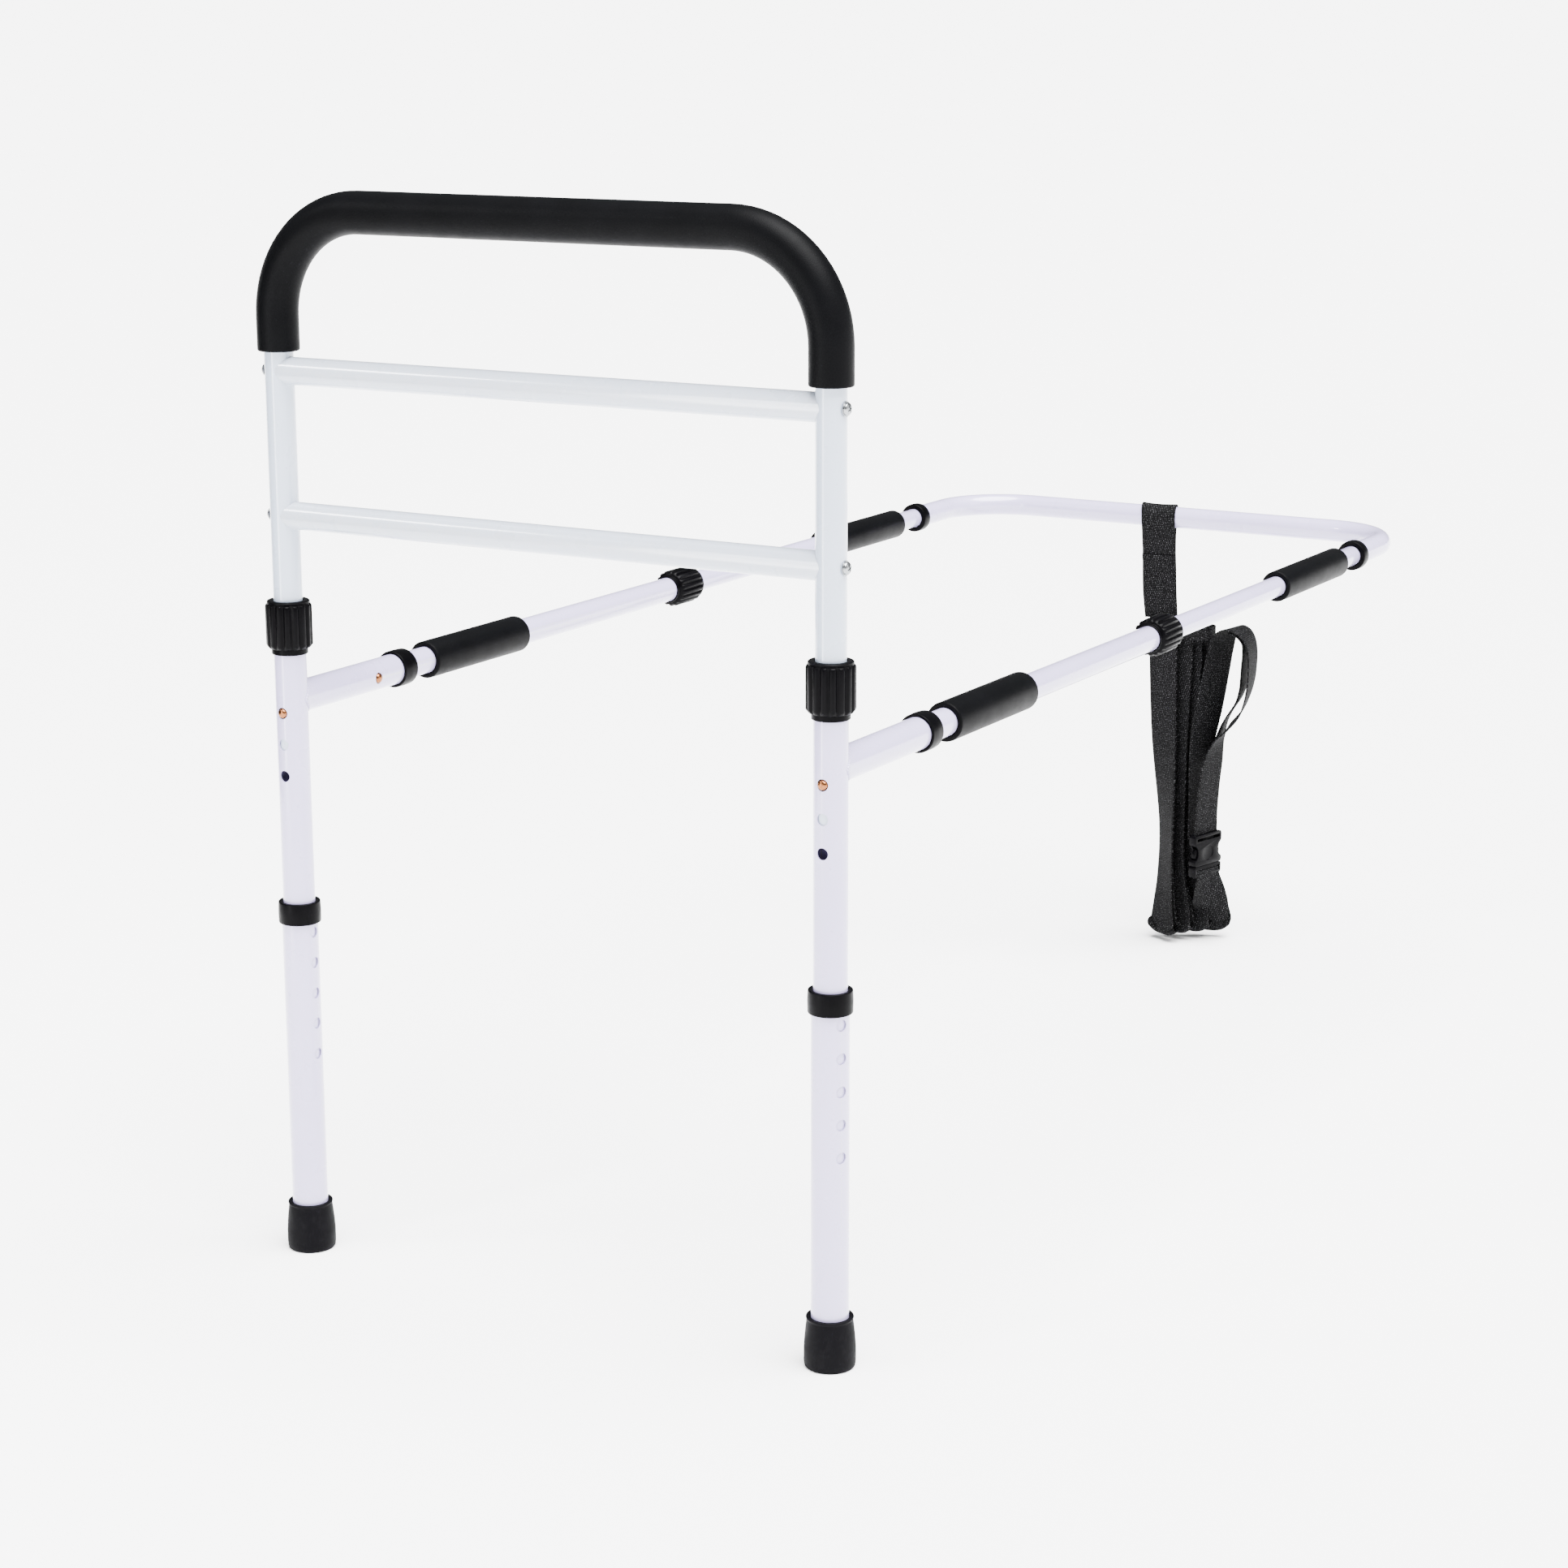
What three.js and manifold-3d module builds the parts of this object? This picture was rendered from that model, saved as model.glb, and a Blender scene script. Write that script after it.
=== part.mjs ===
// Bed assist rail: a height-adjustable handrail on two legs, with a telescoping base that slides under a mattress.
// Millimetres. +X runs along the handrail, +Y runs along the base arms towards the far side of the bed, +Z is up.
// The origin is on the floor, in the middle of the rail's footprint.
import * as THREE from 'three';
import { mergeVertices } from 'three/addons/utils/BufferGeometryUtils.js';
import Module from 'manifold-3d';

const wasm = await Module();
wasm.setup();

// ---------------------------------------------------------------- driving dimensions
const SPAN = 486;                  // between the centre lines of the two uprights
const REACH = 1187;                // from the uprights to the centre line of the far bar
const HOOP_TOP = 838;              // centre line of the hoop's top
const HOLE_PITCH = 25.4;           // between adjustment holes, on the posts and on the legs
const GAP = 0.3;                   // left between pieces that touch

// tubes
const HOOP_R = 11.4;
const POST_R = 12.7;
const LEG_R = 14.3;
const NEAR_ARM_R = 11.1;
const FAR_ARM_R = 9.525;
const POST_WALL = 1.0;
const WALL = 1.2;
const HOOP_BEND_R = 80;
const BAR_BEND_R = 72;
const BEND_STEPS = 5;
const TUBE_SIDES = 16;
const HOLE_SIDES = 8;
const SMALL_SIDES = 12;

// heights on the uprights
const RUNG_Z = { upper: 716, lower: 604 };
const GRIP_END_Z = 731;
const ARM_Z = 458;
const TOP_POST_HOLE_Z = 448.3;
const POST_HOLES = 3;
const HOOP_END_Z = TOP_POST_HOLE_Z - 1.5 * HOLE_PITCH;
const POST_NUT_Z = 494.5;
const LEG_TOP_Z = 289.5;
const TOP_LEG_HOLE_Z = 269;
const LEG_HOLES = 5;
const LOW_LEG_HOLE_Z = TOP_LEG_HOLE_Z - (LEG_HOLES - 1) * HOLE_PITCH;
const POST_END_Z = LOW_LEG_HOLE_Z - 18;
const LEG_HOLE_AZIMUTH = { left: 88, right: 65 };   // degrees round the leg, from the front towards +X

// places along the base arms, measured from the uprights
const STUB_END_Y = 146;
const STUB_BUTTON_Y = 97;
const NEAR_ARM_START_Y = 50;
const NEAR_FOAM = { y: 176, length: 134, radius: 15.5 };
const ARM_NUT_Y = 556;
const FAR_ARM_START_Y = 380;
const FAR_FOAM = { y: 849, length: 154, radius: 14.25 };
const BAR_END_Y = 1047.7;
const FAR_ARM_END_Y = BAR_END_Y + 60;
const GRIP_R = 16.3;

// lock nuts: a smooth neck over the outer tube, then a ribbed body, then a lip over the inner tube
const NUT = { neck: 5, ribs: 34, length: 42.5, lip: 4, ribCount: 20, ribDepth: 1.4, wall: 5.4, neckWall: 1.9 };
const NUT_TUBE_DEPTH = 17.5;
const COLLET_SLOTS = 4;
const COLLET_SLOT_WIDTH = 1.6;

// slip rings on the tube ends
const RING_LENGTH = { leg: 17.5, stub: 17, bar: 12 };
const RING_WALL = { leg: 2.7, stub: 2.6, bar: 3.6 };
const RING_LIP = { leg: 3.8, stub: 1.2, bar: 1.2 };

// snap buttons, each on a folded leaf spring
const BUTTON_R = 4;
const BUTTON_HOLE_R = 4.5;
const BUTTON_PROUD = 1.7;
const LEAF = { thick: 0.8, width: 6.4, length: 32, inset: 1.9 };

// rung fasteners
const SCREW = { shankR: 2.5, headR: 4.3, head: 3.2, length: 42 };
const PLUG = { from: 15, length: 20 };

// rubber tips
const TIP = { top: 40, floor: 6, footR: 19.6, topR: 17.4, lipR: 17.9 };

// strap; its places are measured from the middle of the far bar's axis, and z runs down from there
const WEB_WIDTH = 38;
const WEB = 1.6;
const BAR_LOOP = { x: -23.5, slack: 0.5, mouth: -50, step: 20, crotch: -29, meet: -34, end: -102 };
const BUNDLE_DEPTH = 20;
const KEEPER = { x: 1, z: -112, width: 82, height: 14, wall: 2 };
const SIDE_PLIES = { x: 43, z: -218, thick: 8, length: 180 };
const BIGHT = { x: 74, z: -152, semiX: 14, semiZ: 49, tailX: 53, tailLength: 20 };
const BUCKLE = {
  x: 46, y: -14, z: -368, turn: -15, width: 44, thick: 9, wall: 1.6,
  socket: 34, mouth: 24, base: 12, webSlot: { width: 36, height: 3 },
  window: { z: 13, depth: 8, height: 12 },
  prong: { y: 15.3, width: 4, length: 20 }, barb: { width: 3, height: 9 },
};

const half = SPAN / 2;
const shiftY = -(REACH + WEB_WIDTH / 2 - TIP.footR) / 2;   // puts the origin under the middle of the whole rail

// ---------------------------------------------------------------- finishes
const coolWhite = finish(0xdde5ec, 0.28, 0);
const warmWhite = finish(0xe6e3ef, 0.3, 0);
const blackPlastic = finish(0x17151a, 0.45, 0);
const blackFoam = finish(0x131416, 0.75, 0);
const blackRubber = finish(0x1a191c, 0.7, 0);
const copper = finish(0xb97a52, 0.3, 0.9);
const springSteel = finish(0x9a9a9c, 0.35, 0.9);
const zinc = finish(0xc4c7ca, 0.3, 0.9);
const webbing = finish(0x1c1c1e, 0.85, 0);

function finish(color, roughness, metalness) {
  return new THREE.MeshStandardMaterial({ color, roughness, metalness });
}

// ---------------------------------------------------------------- shape helpers
// A path through given stations. Its parameter steps evenly from station to station, whatever the spacing.
class StationPath extends THREE.Curve {
  constructor(stations) {
    super();
    this.stations = stations;
  }
  getPoint(t, target = new THREE.Vector3()) {
    const last = this.stations.length - 1;
    const place = THREE.MathUtils.clamp(t * last, 0, last);
    const before = Math.min(Math.floor(place), last - 1);
    return target.lerpVectors(this.stations[before], this.stations[before + 1], place - before);
  }
  getUtoTmapping(u) {
    return u;
  }
}

// Stations of a path through corner points, with each inner corner rounded to one bend radius.
function roundedStations(corners, radius) {
  const stations = [corners[0]];
  for (let i = 1; i < corners.length - 1; i++) {
    const back = corners[i - 1].clone().sub(corners[i]).normalize();
    const ahead = corners[i + 1].clone().sub(corners[i]).normalize();
    const centre = corners[i].clone().addScaledVector(back, radius).addScaledVector(ahead, radius);
    for (let step = 0; step <= BEND_STEPS; step++) {
      const angle = (step / BEND_STEPS) * Math.PI / 2;
      const point = centre.clone().addScaledVector(ahead, -radius * Math.cos(angle));
      stations.push(point.addScaledVector(back, -radius * Math.sin(angle)));
    }
  }
  stations.push(corners[corners.length - 1]);
  return stations;
}

function circlePoints(radius, sides) {
  const points = [];
  for (let i = 0; i < sides; i++) {
    const angle = (i / sides) * 2 * Math.PI;
    points.push(new THREE.Vector2(radius * Math.cos(angle), radius * Math.sin(angle)));
  }
  return points;
}

function annulus(outerR, innerR) {
  const shape = new THREE.Shape(circlePoints(outerR, TUBE_SIDES));
  shape.holes.push(new THREE.Path(circlePoints(innerR, TUBE_SIDES).reverse()));
  return shape;
}

// A hollow tube from z = 0 up.
function straightTube(outerR, innerR, length) {
  return new THREE.ExtrudeGeometry(annulus(outerR, innerR), { depth: length, bevelEnabled: false });
}

function bentTube(stations, outerR, innerR) {
  const extrudePath = new StationPath(stations);
  return new THREE.ExtrudeGeometry(annulus(outerR, innerR), { steps: stations.length - 1, extrudePath });
}

// A rod of one radius from z = 0 up.
function rod(radius, length, sides = TUBE_SIDES) {
  const shape = new THREE.Shape(circlePoints(radius, sides));
  return new THREE.ExtrudeGeometry(shape, { depth: length, bevelEnabled: false });
}

// A turned piece about Z, from a closed outline of [radius, height] pairs.
function turned(outline, sides = TUBE_SIDES) {
  const points = outline.map(([radius, height]) => new THREE.Vector2(radius, height));
  return new THREE.LatheGeometry(points, sides).rotateX(Math.PI / 2);
}

// An outline of [x, y] pairs, extruded up from z = 0.
function slab(outline, depth) {
  const shape = new THREE.Shape(outline.map(([x, y]) => new THREE.Vector2(x, y)));
  return new THREE.ExtrudeGeometry(shape, { depth, bevelEnabled: false });
}

function box(size, centre) {
  return new THREE.BoxGeometry(...size).translate(...centre);
}

function toSolid(geometry) {
  const bare = geometry.clone();
  bare.deleteAttribute('normal');
  bare.deleteAttribute('uv');
  const merged = mergeVertices(bare, 1e-4);
  const vertProperties = new Float32Array(merged.attributes.position.array);
  const triVerts = new Uint32Array(merged.index.array);
  return new wasm.Manifold(new wasm.Mesh({ numProp: 3, vertProperties, triVerts }));
}

function toGeometry(solid) {
  const { vertProperties, triVerts } = solid.getMesh();
  const geometry = new THREE.BufferGeometry();
  geometry.setAttribute('position', new THREE.BufferAttribute(new Float32Array(vertProperties), 3));
  geometry.setIndex(new THREE.BufferAttribute(new Uint32Array(triVerts), 1));
  geometry.computeVertexNormals();
  return geometry;
}

function cut(geometry, tools) {
  return toGeometry(tools.reduce((solid, tool) => solid.subtract(toSolid(tool)), toSolid(geometry)));
}

function join(...geometries) {
  return toGeometry(geometries.map(toSolid).reduce((sum, solid) => sum.add(solid)));
}

// A drill that points along +X from the tube's axis, or both ways through it.
function drill(radius, reach, bothWays = false) {
  const tool = rod(radius, bothWays ? 2 * reach : reach, HOLE_SIDES).rotateY(Math.PI / 2);
  return bothWays ? tool.translate(-reach, 0, 0) : tool;
}

// Turns something that points along +X to an azimuth, in degrees from the front (-Y) towards +X.
function azimuthAngle(degrees) {
  return THREE.MathUtils.degToRad(degrees - 90);
}

function piece(name, geometry, material) {
  const mesh = new THREE.Mesh(geometry, material);
  mesh.name = name;
  return mesh;
}

// ---------------------------------------------------------------- handrail
function hoopStations(endZ) {
  const corners = [
    new THREE.Vector3(-half, 0, endZ),
    new THREE.Vector3(-half, 0, HOOP_TOP),
    new THREE.Vector3(half, 0, HOOP_TOP),
    new THREE.Vector3(half, 0, endZ),
  ];
  return roundedStations(corners, HOOP_BEND_R);
}

function handrailHoop() {
  const tools = [];
  for (const x of [-half, half]) {
    for (const z of Object.values(RUNG_Z)) {
      tools.push(drill(SCREW.shankR + GAP, HOOP_R + 2, true).translate(x, 0, z));
    }
    const buttonHole = drill(BUTTON_HOLE_R, HOOP_R + 2).rotateZ(azimuthAngle(0));
    tools.push(buttonHole.translate(x, 0, TOP_POST_HOLE_Z));
  }
  return cut(bentTube(hoopStations(HOOP_END_Z), HOOP_R, HOOP_R - WALL), tools);
}

// A rung whose ends are cut to the uprights' curve.
function rung() {
  const tube = straightTube(HOOP_R, HOOP_R - WALL, SPAN).rotateY(Math.PI / 2).translate(-half, 0, 0);
  const uprights = [-half, half].map((x) => rod(HOOP_R + GAP, 4 * HOOP_R).translate(x, 0, -2 * HOOP_R));
  return cut(tube, uprights);
}

// A threaded plug inside the end of a rung. It lies along +X.
function rungPlug() {
  const outerR = HOOP_R - WALL - GAP;
  return straightTube(outerR, SCREW.shankR + GAP, PLUG.length).rotateY(Math.PI / 2);
}

// A pan-head screw whose head faces +X and whose shank starts at x = 0.
function rungScrew() {
  const { shankR, headR, head, length } = SCREW;
  const outline = [[0, -length], [shankR, -length], [shankR, 0], [headR, 0], [headR, head * 0.5],
    [headR * 0.6, head], [0, head]];
  return turned(outline, SMALL_SIDES).rotateY(Math.PI / 2);
}

function handrail() {
  const group = new THREE.Group();
  group.add(piece('handrail_hoop', handrailHoop(), coolWhite));
  group.add(piece('grip_foam', bentTube(hoopStations(GRIP_END_Z), GRIP_R, HOOP_R + GAP), blackFoam));
  for (const [level, z] of Object.entries(RUNG_Z)) {
    const tube = piece(`${level}_rung`, rung(), coolWhite);
    tube.position.z = z;
    group.add(tube);
    for (const [sideName, side] of [['left', -1], ['right', 1]]) {
      const end = new THREE.Group();
      end.position.set(side * half, 0, z);
      end.rotation.z = side > 0 ? 0 : Math.PI;
      const plug = piece(`${level}_${sideName}_rung_plug`, rungPlug(), zinc);
      plug.position.x = -PLUG.from - PLUG.length;
      const screw = piece(`${level}_${sideName}_rung_screw`, rungScrew(), zinc);
      screw.position.x = HOOP_R + GAP;
      end.add(plug, screw);
      group.add(end);
    }
  }
  return group;
}

// ---------------------------------------------------------------- snap buttons
// A round-topped button and its leaf spring inside a tube. The button points along +X, and the fold of the leaf
// lies along -Z.
function snapClip(name, outerTubeR, innerTubeR, innerWall) {
  const group = new THREE.Group();
  const leafFace = innerTubeR - innerWall - LEAF.inset;
  const top = outerTubeR + BUTTON_PROUD;
  const outline = [[0, leafFace + GAP], [BUTTON_R, leafFace + GAP], [BUTTON_R, top - 1.3],
    [BUTTON_R * 0.6, top], [0, top]];
  group.add(piece(`${name}_button`, turned(outline, SMALL_SIDES).rotateY(Math.PI / 2), copper));

  const back = innerTubeR - innerWall - 0.8;
  const bend = -LEAF.length;
  const band = [[leafFace, 5], [leafFace - LEAF.thick, 5], [leafFace - LEAF.thick, -5], [0, bend + 3],
    [LEAF.thick - back, 0], [-back, 0], [-1.1, bend], [1.1, bend], [leafFace, -5]];
  const leaf = slab(band, LEAF.width).translate(0, 0, -LEAF.width / 2).rotateX(Math.PI / 2);
  group.add(piece(`${name}_leaf_spring`, leaf, springSteel));
  return group;
}

// ---------------------------------------------------------------- lock nuts and slip rings
function ribbedOutline(radius, ribDepth, count) {
  const points = [];
  for (let i = 0; i < count; i++) {
    for (const [share, r] of [[0, radius], [0.5, radius - ribDepth]]) {
      const angle = ((i + share) / count) * 2 * Math.PI;
      points.push([r * Math.cos(angle), r * Math.sin(angle)]);
    }
  }
  return points;
}

// A lock nut from its neck at z = 0 to its lip.
function lockNut(outerTubeR, innerTubeR) {
  const bodyR = outerTubeR + NUT.wall;
  const neck = rod(outerTubeR + NUT.neckWall, NUT.neck + 1);
  const ribs = slab(ribbedOutline(bodyR, NUT.ribDepth, NUT.ribCount), NUT.ribs).translate(0, 0, NUT.neck);
  const lipRing = rod(bodyR - NUT.ribDepth / 2, NUT.length - NUT.neck - 1).translate(0, 0, NUT.neck + 1);
  const cavity = rod(outerTubeR + 0.5, NUT.length - NUT.lip + 1).translate(0, 0, -1);
  const bore = rod(innerTubeR + 0.6, NUT.length + 2).translate(0, 0, -1);
  return cut(join(neck, ribs, lipRing), [cavity, bore]);
}

// The slotted collet that the nut squeezes onto the inner tube. It stands on the outer tube's end.
function lockCollet(outerTubeR, innerTubeR) {
  const length = NUT.length - NUT.lip - NUT_TUBE_DEPTH - 2 * GAP;
  const ring = straightTube(outerTubeR, innerTubeR + GAP, length);
  const slots = [];
  for (let i = 0; i < COLLET_SLOTS; i++) {
    const slot = box([outerTubeR + 2, COLLET_SLOT_WIDTH, length], [outerTubeR / 2 + 1, 0, length * 0.75]);
    slots.push(slot.rotateZ((i / COLLET_SLOTS) * 2 * Math.PI));
  }
  return cut(ring, slots);
}

// A plastic ring round a tube's end at z = length, with a lip that covers the end and clears the inner tube.
function slipRing(tubeR, innerTubeR, wall, length, lip) {
  const outerR = tubeR + wall;
  const seat = length - lip;
  const outline = [[tubeR + GAP, 0], [outerR, 0], [outerR, length - 0.8], [outerR - 0.8, length],
    [innerTubeR + 0.4, length], [innerTubeR + 0.4, seat], [tubeR + GAP, seat], [tubeR + GAP, 0]];
  return turned(outline);
}

// ---------------------------------------------------------------- uprights
function post(legHoleAzimuth) {
  const top = POST_NUT_Z + NUT_TUBE_DEPTH;
  const tube = straightTube(POST_R, POST_R - POST_WALL, top - POST_END_Z).translate(0, 0, POST_END_Z);
  const tools = [];
  for (let i = 0; i < POST_HOLES; i++) {
    const hole = drill(BUTTON_HOLE_R, POST_R + 2).rotateZ(azimuthAngle(0));
    tools.push(hole.translate(0, 0, TOP_POST_HOLE_Z - i * HOLE_PITCH));
  }
  const legButtonHole = drill(BUTTON_HOLE_R, POST_R + 2).rotateZ(azimuthAngle(legHoleAzimuth + 180));
  tools.push(legButtonHole.translate(0, 0, LOW_LEG_HOLE_Z));
  return cut(tube, tools);
}

function leg(holeAzimuth) {
  const foot = TIP.floor + GAP;
  const tube = straightTube(LEG_R, LEG_R - WALL, LEG_TOP_Z - foot).translate(0, 0, foot);
  const tools = [];
  for (let i = 0; i < LEG_HOLES; i++) {
    const hole = drill(BUTTON_HOLE_R, LEG_R + 2, true).rotateZ(azimuthAngle(holeAzimuth));
    tools.push(hole.translate(0, 0, TOP_LEG_HOLE_Z - i * HOLE_PITCH));
  }
  return cut(tube, tools);
}

function rubberTip() {
  const { top, floor, footR, topR, lipR } = TIP;
  const bore = LEG_R + GAP;
  const outline = [[0, 0], [footR - 1.2, 0], [footR, 1.5], [footR, 6], [topR, top - 4], [lipR, top - 2.5],
    [lipR, top], [bore, top], [bore, floor], [0, floor]];
  return turned(outline);
}

function upright(sideName, side) {
  const group = new THREE.Group();
  group.position.x = side * half;
  const holeAzimuth = LEG_HOLE_AZIMUTH[sideName];
  group.add(piece(`${sideName}_post`, post(holeAzimuth), warmWhite));
  group.add(piece(`${sideName}_leg`, leg(holeAzimuth), warmWhite));
  group.add(piece(`${sideName}_rubber_tip`, rubberTip(), blackRubber));

  const legRing = slipRing(LEG_R, POST_R, RING_WALL.leg, RING_LENGTH.leg, RING_LIP.leg);
  const ring = piece(`${sideName}_leg_ring`, legRing, blackPlastic);
  ring.position.z = LEG_TOP_Z + RING_LIP.leg + GAP - RING_LENGTH.leg;
  const nut = piece(`${sideName}_post_lock_nut`, lockNut(POST_R, HOOP_R), blackPlastic);
  nut.position.z = POST_NUT_Z;
  const collet = piece(`${sideName}_post_collet`, lockCollet(POST_R, HOOP_R), blackPlastic);
  collet.position.z = POST_NUT_Z + NUT_TUBE_DEPTH + GAP;

  const heightClip = snapClip(`${sideName}_height`, POST_R, HOOP_R, WALL);
  heightClip.position.z = TOP_POST_HOLE_Z;
  heightClip.rotation.z = azimuthAngle(0);
  const legClip = snapClip(`${sideName}_leg`, LEG_R, POST_R, POST_WALL);
  legClip.position.z = LOW_LEG_HOLE_Z;
  legClip.rotation.set(Math.PI, 0, azimuthAngle(holeAzimuth + 180), 'ZYX');
  group.add(ring, nut, collet, heightClip, legClip);
  return group;
}

// ---------------------------------------------------------------- base arms
// Each arm is built along +Z from the upright's axis and then laid along +Y.
function innerSideDrill(side, tubeR) {
  return drill(BUTTON_HOLE_R, tubeR + 2).rotateZ(side > 0 ? Math.PI : 0).translate(0, 0, STUB_BUTTON_Y);
}

function stub(side) {
  const tube = straightTube(POST_R, POST_R - WALL, STUB_END_Y);
  const postCut = rod(POST_R + GAP, 4 * POST_R).translate(0, 0, -2 * POST_R).rotateX(Math.PI / 2);
  return cut(tube, [postCut, innerSideDrill(side, POST_R)]);
}

function nearArm(side) {
  const length = ARM_NUT_Y + NUT_TUBE_DEPTH - NEAR_ARM_START_Y;
  const tube = straightTube(NEAR_ARM_R, NEAR_ARM_R - WALL, length).translate(0, 0, NEAR_ARM_START_Y);
  return cut(tube, [innerSideDrill(side, NEAR_ARM_R)]);
}

function baseArm(sideName, side) {
  const group = new THREE.Group();
  group.position.set(side * half, 0, ARM_Z);
  group.rotation.x = -Math.PI / 2;
  const add = (name, geometry, material, z) => {
    const mesh = piece(`${sideName}_${name}`, geometry, material);
    mesh.position.z = z;
    group.add(mesh);
  };
  const stubRing = slipRing(POST_R, NEAR_ARM_R, RING_WALL.stub, RING_LENGTH.stub, RING_LIP.stub);
  const barRing = slipRing(NEAR_ARM_R, FAR_ARM_R, RING_WALL.bar, RING_LENGTH.bar, RING_LIP.bar);
  barRing.rotateX(Math.PI);
  const farArm = straightTube(FAR_ARM_R, FAR_ARM_R - WALL, FAR_ARM_END_Y - FAR_ARM_START_Y);
  const nearFoam = straightTube(NEAR_FOAM.radius, NEAR_ARM_R + GAP, NEAR_FOAM.length);
  const farFoam = straightTube(FAR_FOAM.radius, FAR_ARM_R + GAP, FAR_FOAM.length);
  add('stub', stub(side), warmWhite, 0);
  add('stub_ring', stubRing, blackPlastic, STUB_END_Y + RING_LIP.stub + GAP - RING_LENGTH.stub);
  add('near_arm', nearArm(side), warmWhite, 0);
  add('near_foam', nearFoam, blackFoam, NEAR_FOAM.y);
  add('arm_lock_nut', lockNut(NEAR_ARM_R, FAR_ARM_R), blackPlastic, ARM_NUT_Y);
  add('arm_collet', lockCollet(NEAR_ARM_R, FAR_ARM_R), blackPlastic, ARM_NUT_Y + NUT_TUBE_DEPTH + GAP);
  add('far_arm', farArm, warmWhite, FAR_ARM_START_Y);
  add('far_foam', farFoam, blackFoam, FAR_FOAM.y);
  add('bar_ring', barRing, blackPlastic, BAR_END_Y - RING_LIP.bar - GAP + RING_LENGTH.bar);

  const clip = snapClip(`${sideName}_arm`, POST_R, NEAR_ARM_R, WALL);
  clip.position.z = STUB_BUTTON_Y;
  clip.rotation.z = side > 0 ? Math.PI : 0;
  group.add(clip);
  return group;
}

function farBar() {
  const corners = [
    new THREE.Vector3(-half, BAR_END_Y, 0),
    new THREE.Vector3(-half, REACH, 0),
    new THREE.Vector3(half, REACH, 0),
    new THREE.Vector3(half, BAR_END_Y, 0),
  ];
  const tube = bentTube(roundedStations(corners, BAR_BEND_R), NEAR_ARM_R, NEAR_ARM_R - WALL);
  const bar = piece('far_bar', tube, warmWhite);
  bar.position.z = ARM_Z;
  return bar;
}

// ---------------------------------------------------------------- strap
function arcPoints(radius, from, to, step) {
  const points = [];
  for (let degrees = from; degrees <= to; degrees += step) {
    const angle = THREE.MathUtils.degToRad(degrees);
    points.push([radius * Math.cos(angle), radius * Math.sin(angle)]);
  }
  return points;
}

// The webbing goes round the bar in a teardrop and hangs down as two plies.
function barLoop() {
  const { x, slack, mouth, step, crotch, meet, end } = BAR_LOOP;
  const innerR = NEAR_ARM_R + slack;
  const outer = arcPoints(innerR + WEB, mouth, 180 - mouth, step);
  const outline = [...outer, [-WEB, meet], [-WEB, end], [WEB, end], [WEB, meet]];
  const shape = new THREE.Shape(outline.map(([y, z]) => new THREE.Vector2(y, z)));
  const hole = [...arcPoints(innerR, mouth, 180 - mouth, step), [0, crotch]].reverse();
  shape.holes.push(new THREE.Path(hole.map(([y, z]) => new THREE.Vector2(y, z))));
  const loop = new THREE.ExtrudeGeometry(shape, { depth: WEB_WIDTH, bevelEnabled: false });
  return loop.rotateX(Math.PI / 2).rotateZ(Math.PI / 2).translate(x - WEB_WIDTH / 2, 0, 0);
}

// The folded length of webbing, as [x, z] pairs seen from the front: straight sides, a waist and rounded ends.
function foldedBundle() {
  const leftSide = [[-35, -96], [-30, -152], [-23, -238], [-12, -330], [-12, -383]];
  const bottom = [[-17, -428], [-12, -447], [4, -454], [34, -454], [56, -448], [66, -430], [60, -416]];
  const rightSide = [[40, -412], [39, -334], [39, -246], [38, -143], [36, -108], [10, -96]];
  const sheaf = slab([...leftSide, ...bottom, ...rightSide], BUNDLE_DEPTH);
  return sheaf.rotateX(Math.PI / 2).translate(0, BUNDLE_DEPTH / 2, 0);
}

// The plies on the bundle's side, which lie turned a quarter round.
function sidePlies() {
  return box([SIDE_PLIES.thick, WEB_WIDTH, SIDE_PLIES.length], [SIDE_PLIES.x, 0, SIDE_PLIES.z]);
}

// The free bight of webbing that stands out from the side, and the tail that holds it.
function sideBight() {
  const { x, z, semiX, semiZ, tailX, tailLength } = BIGHT;
  const ring = new THREE.Shape();
  ring.absellipse(x, z, semiX, semiZ, 0, 2 * Math.PI);
  const opening = new THREE.Path();
  opening.absellipse(x, z, semiX - 2 * WEB, semiZ - 2 * WEB, 0, 2 * Math.PI, true);
  ring.holes.push(opening);
  const band = new THREE.ExtrudeGeometry(ring, { depth: WEB_WIDTH, bevelEnabled: false, curveSegments: 10 });
  const tail = box([tailLength, WEB_WIDTH, 2 * WEB], [tailX, 0, z]);
  return join(band.rotateX(Math.PI / 2).translate(0, WEB_WIDTH / 2, 0), tail);
}

// The short sleeve that holds the folds together at the top.
function strapKeeper() {
  const { x, z, width, height, wall } = KEEPER;
  const depth = BUNDLE_DEPTH + 3 * wall;
  const outer = box([width, depth, height], [x, 0, z]);
  const inner = box([width - 2 * wall, depth - 2 * wall, height + 2], [x, 0, z]);
  return cut(outer, [inner]);
}

// The socket half, built up from z = 0: a flat shell, open below, with a window on each edge for the prongs.
function buckleSocket() {
  const { width, thick, wall, socket, mouth, webSlot, window } = BUCKLE;
  const shell = box([thick, width, socket], [0, 0, socket / 2]);
  const hollow = box([thick - 2 * wall, width - 2 * wall, mouth + 1], [0, 0, (mouth - 1) / 2]);
  const windows = [-1, 1].map((end) => {
    return box([thick - 2 * wall, window.depth, window.height], [0, end * width / 2, window.z]);
  });
  const slot = box([thick + 2, webSlot.width, webSlot.height], [0, 0, (mouth + socket) / 2]);
  return cut(shell, [hollow, ...windows, slot]);
}

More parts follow.
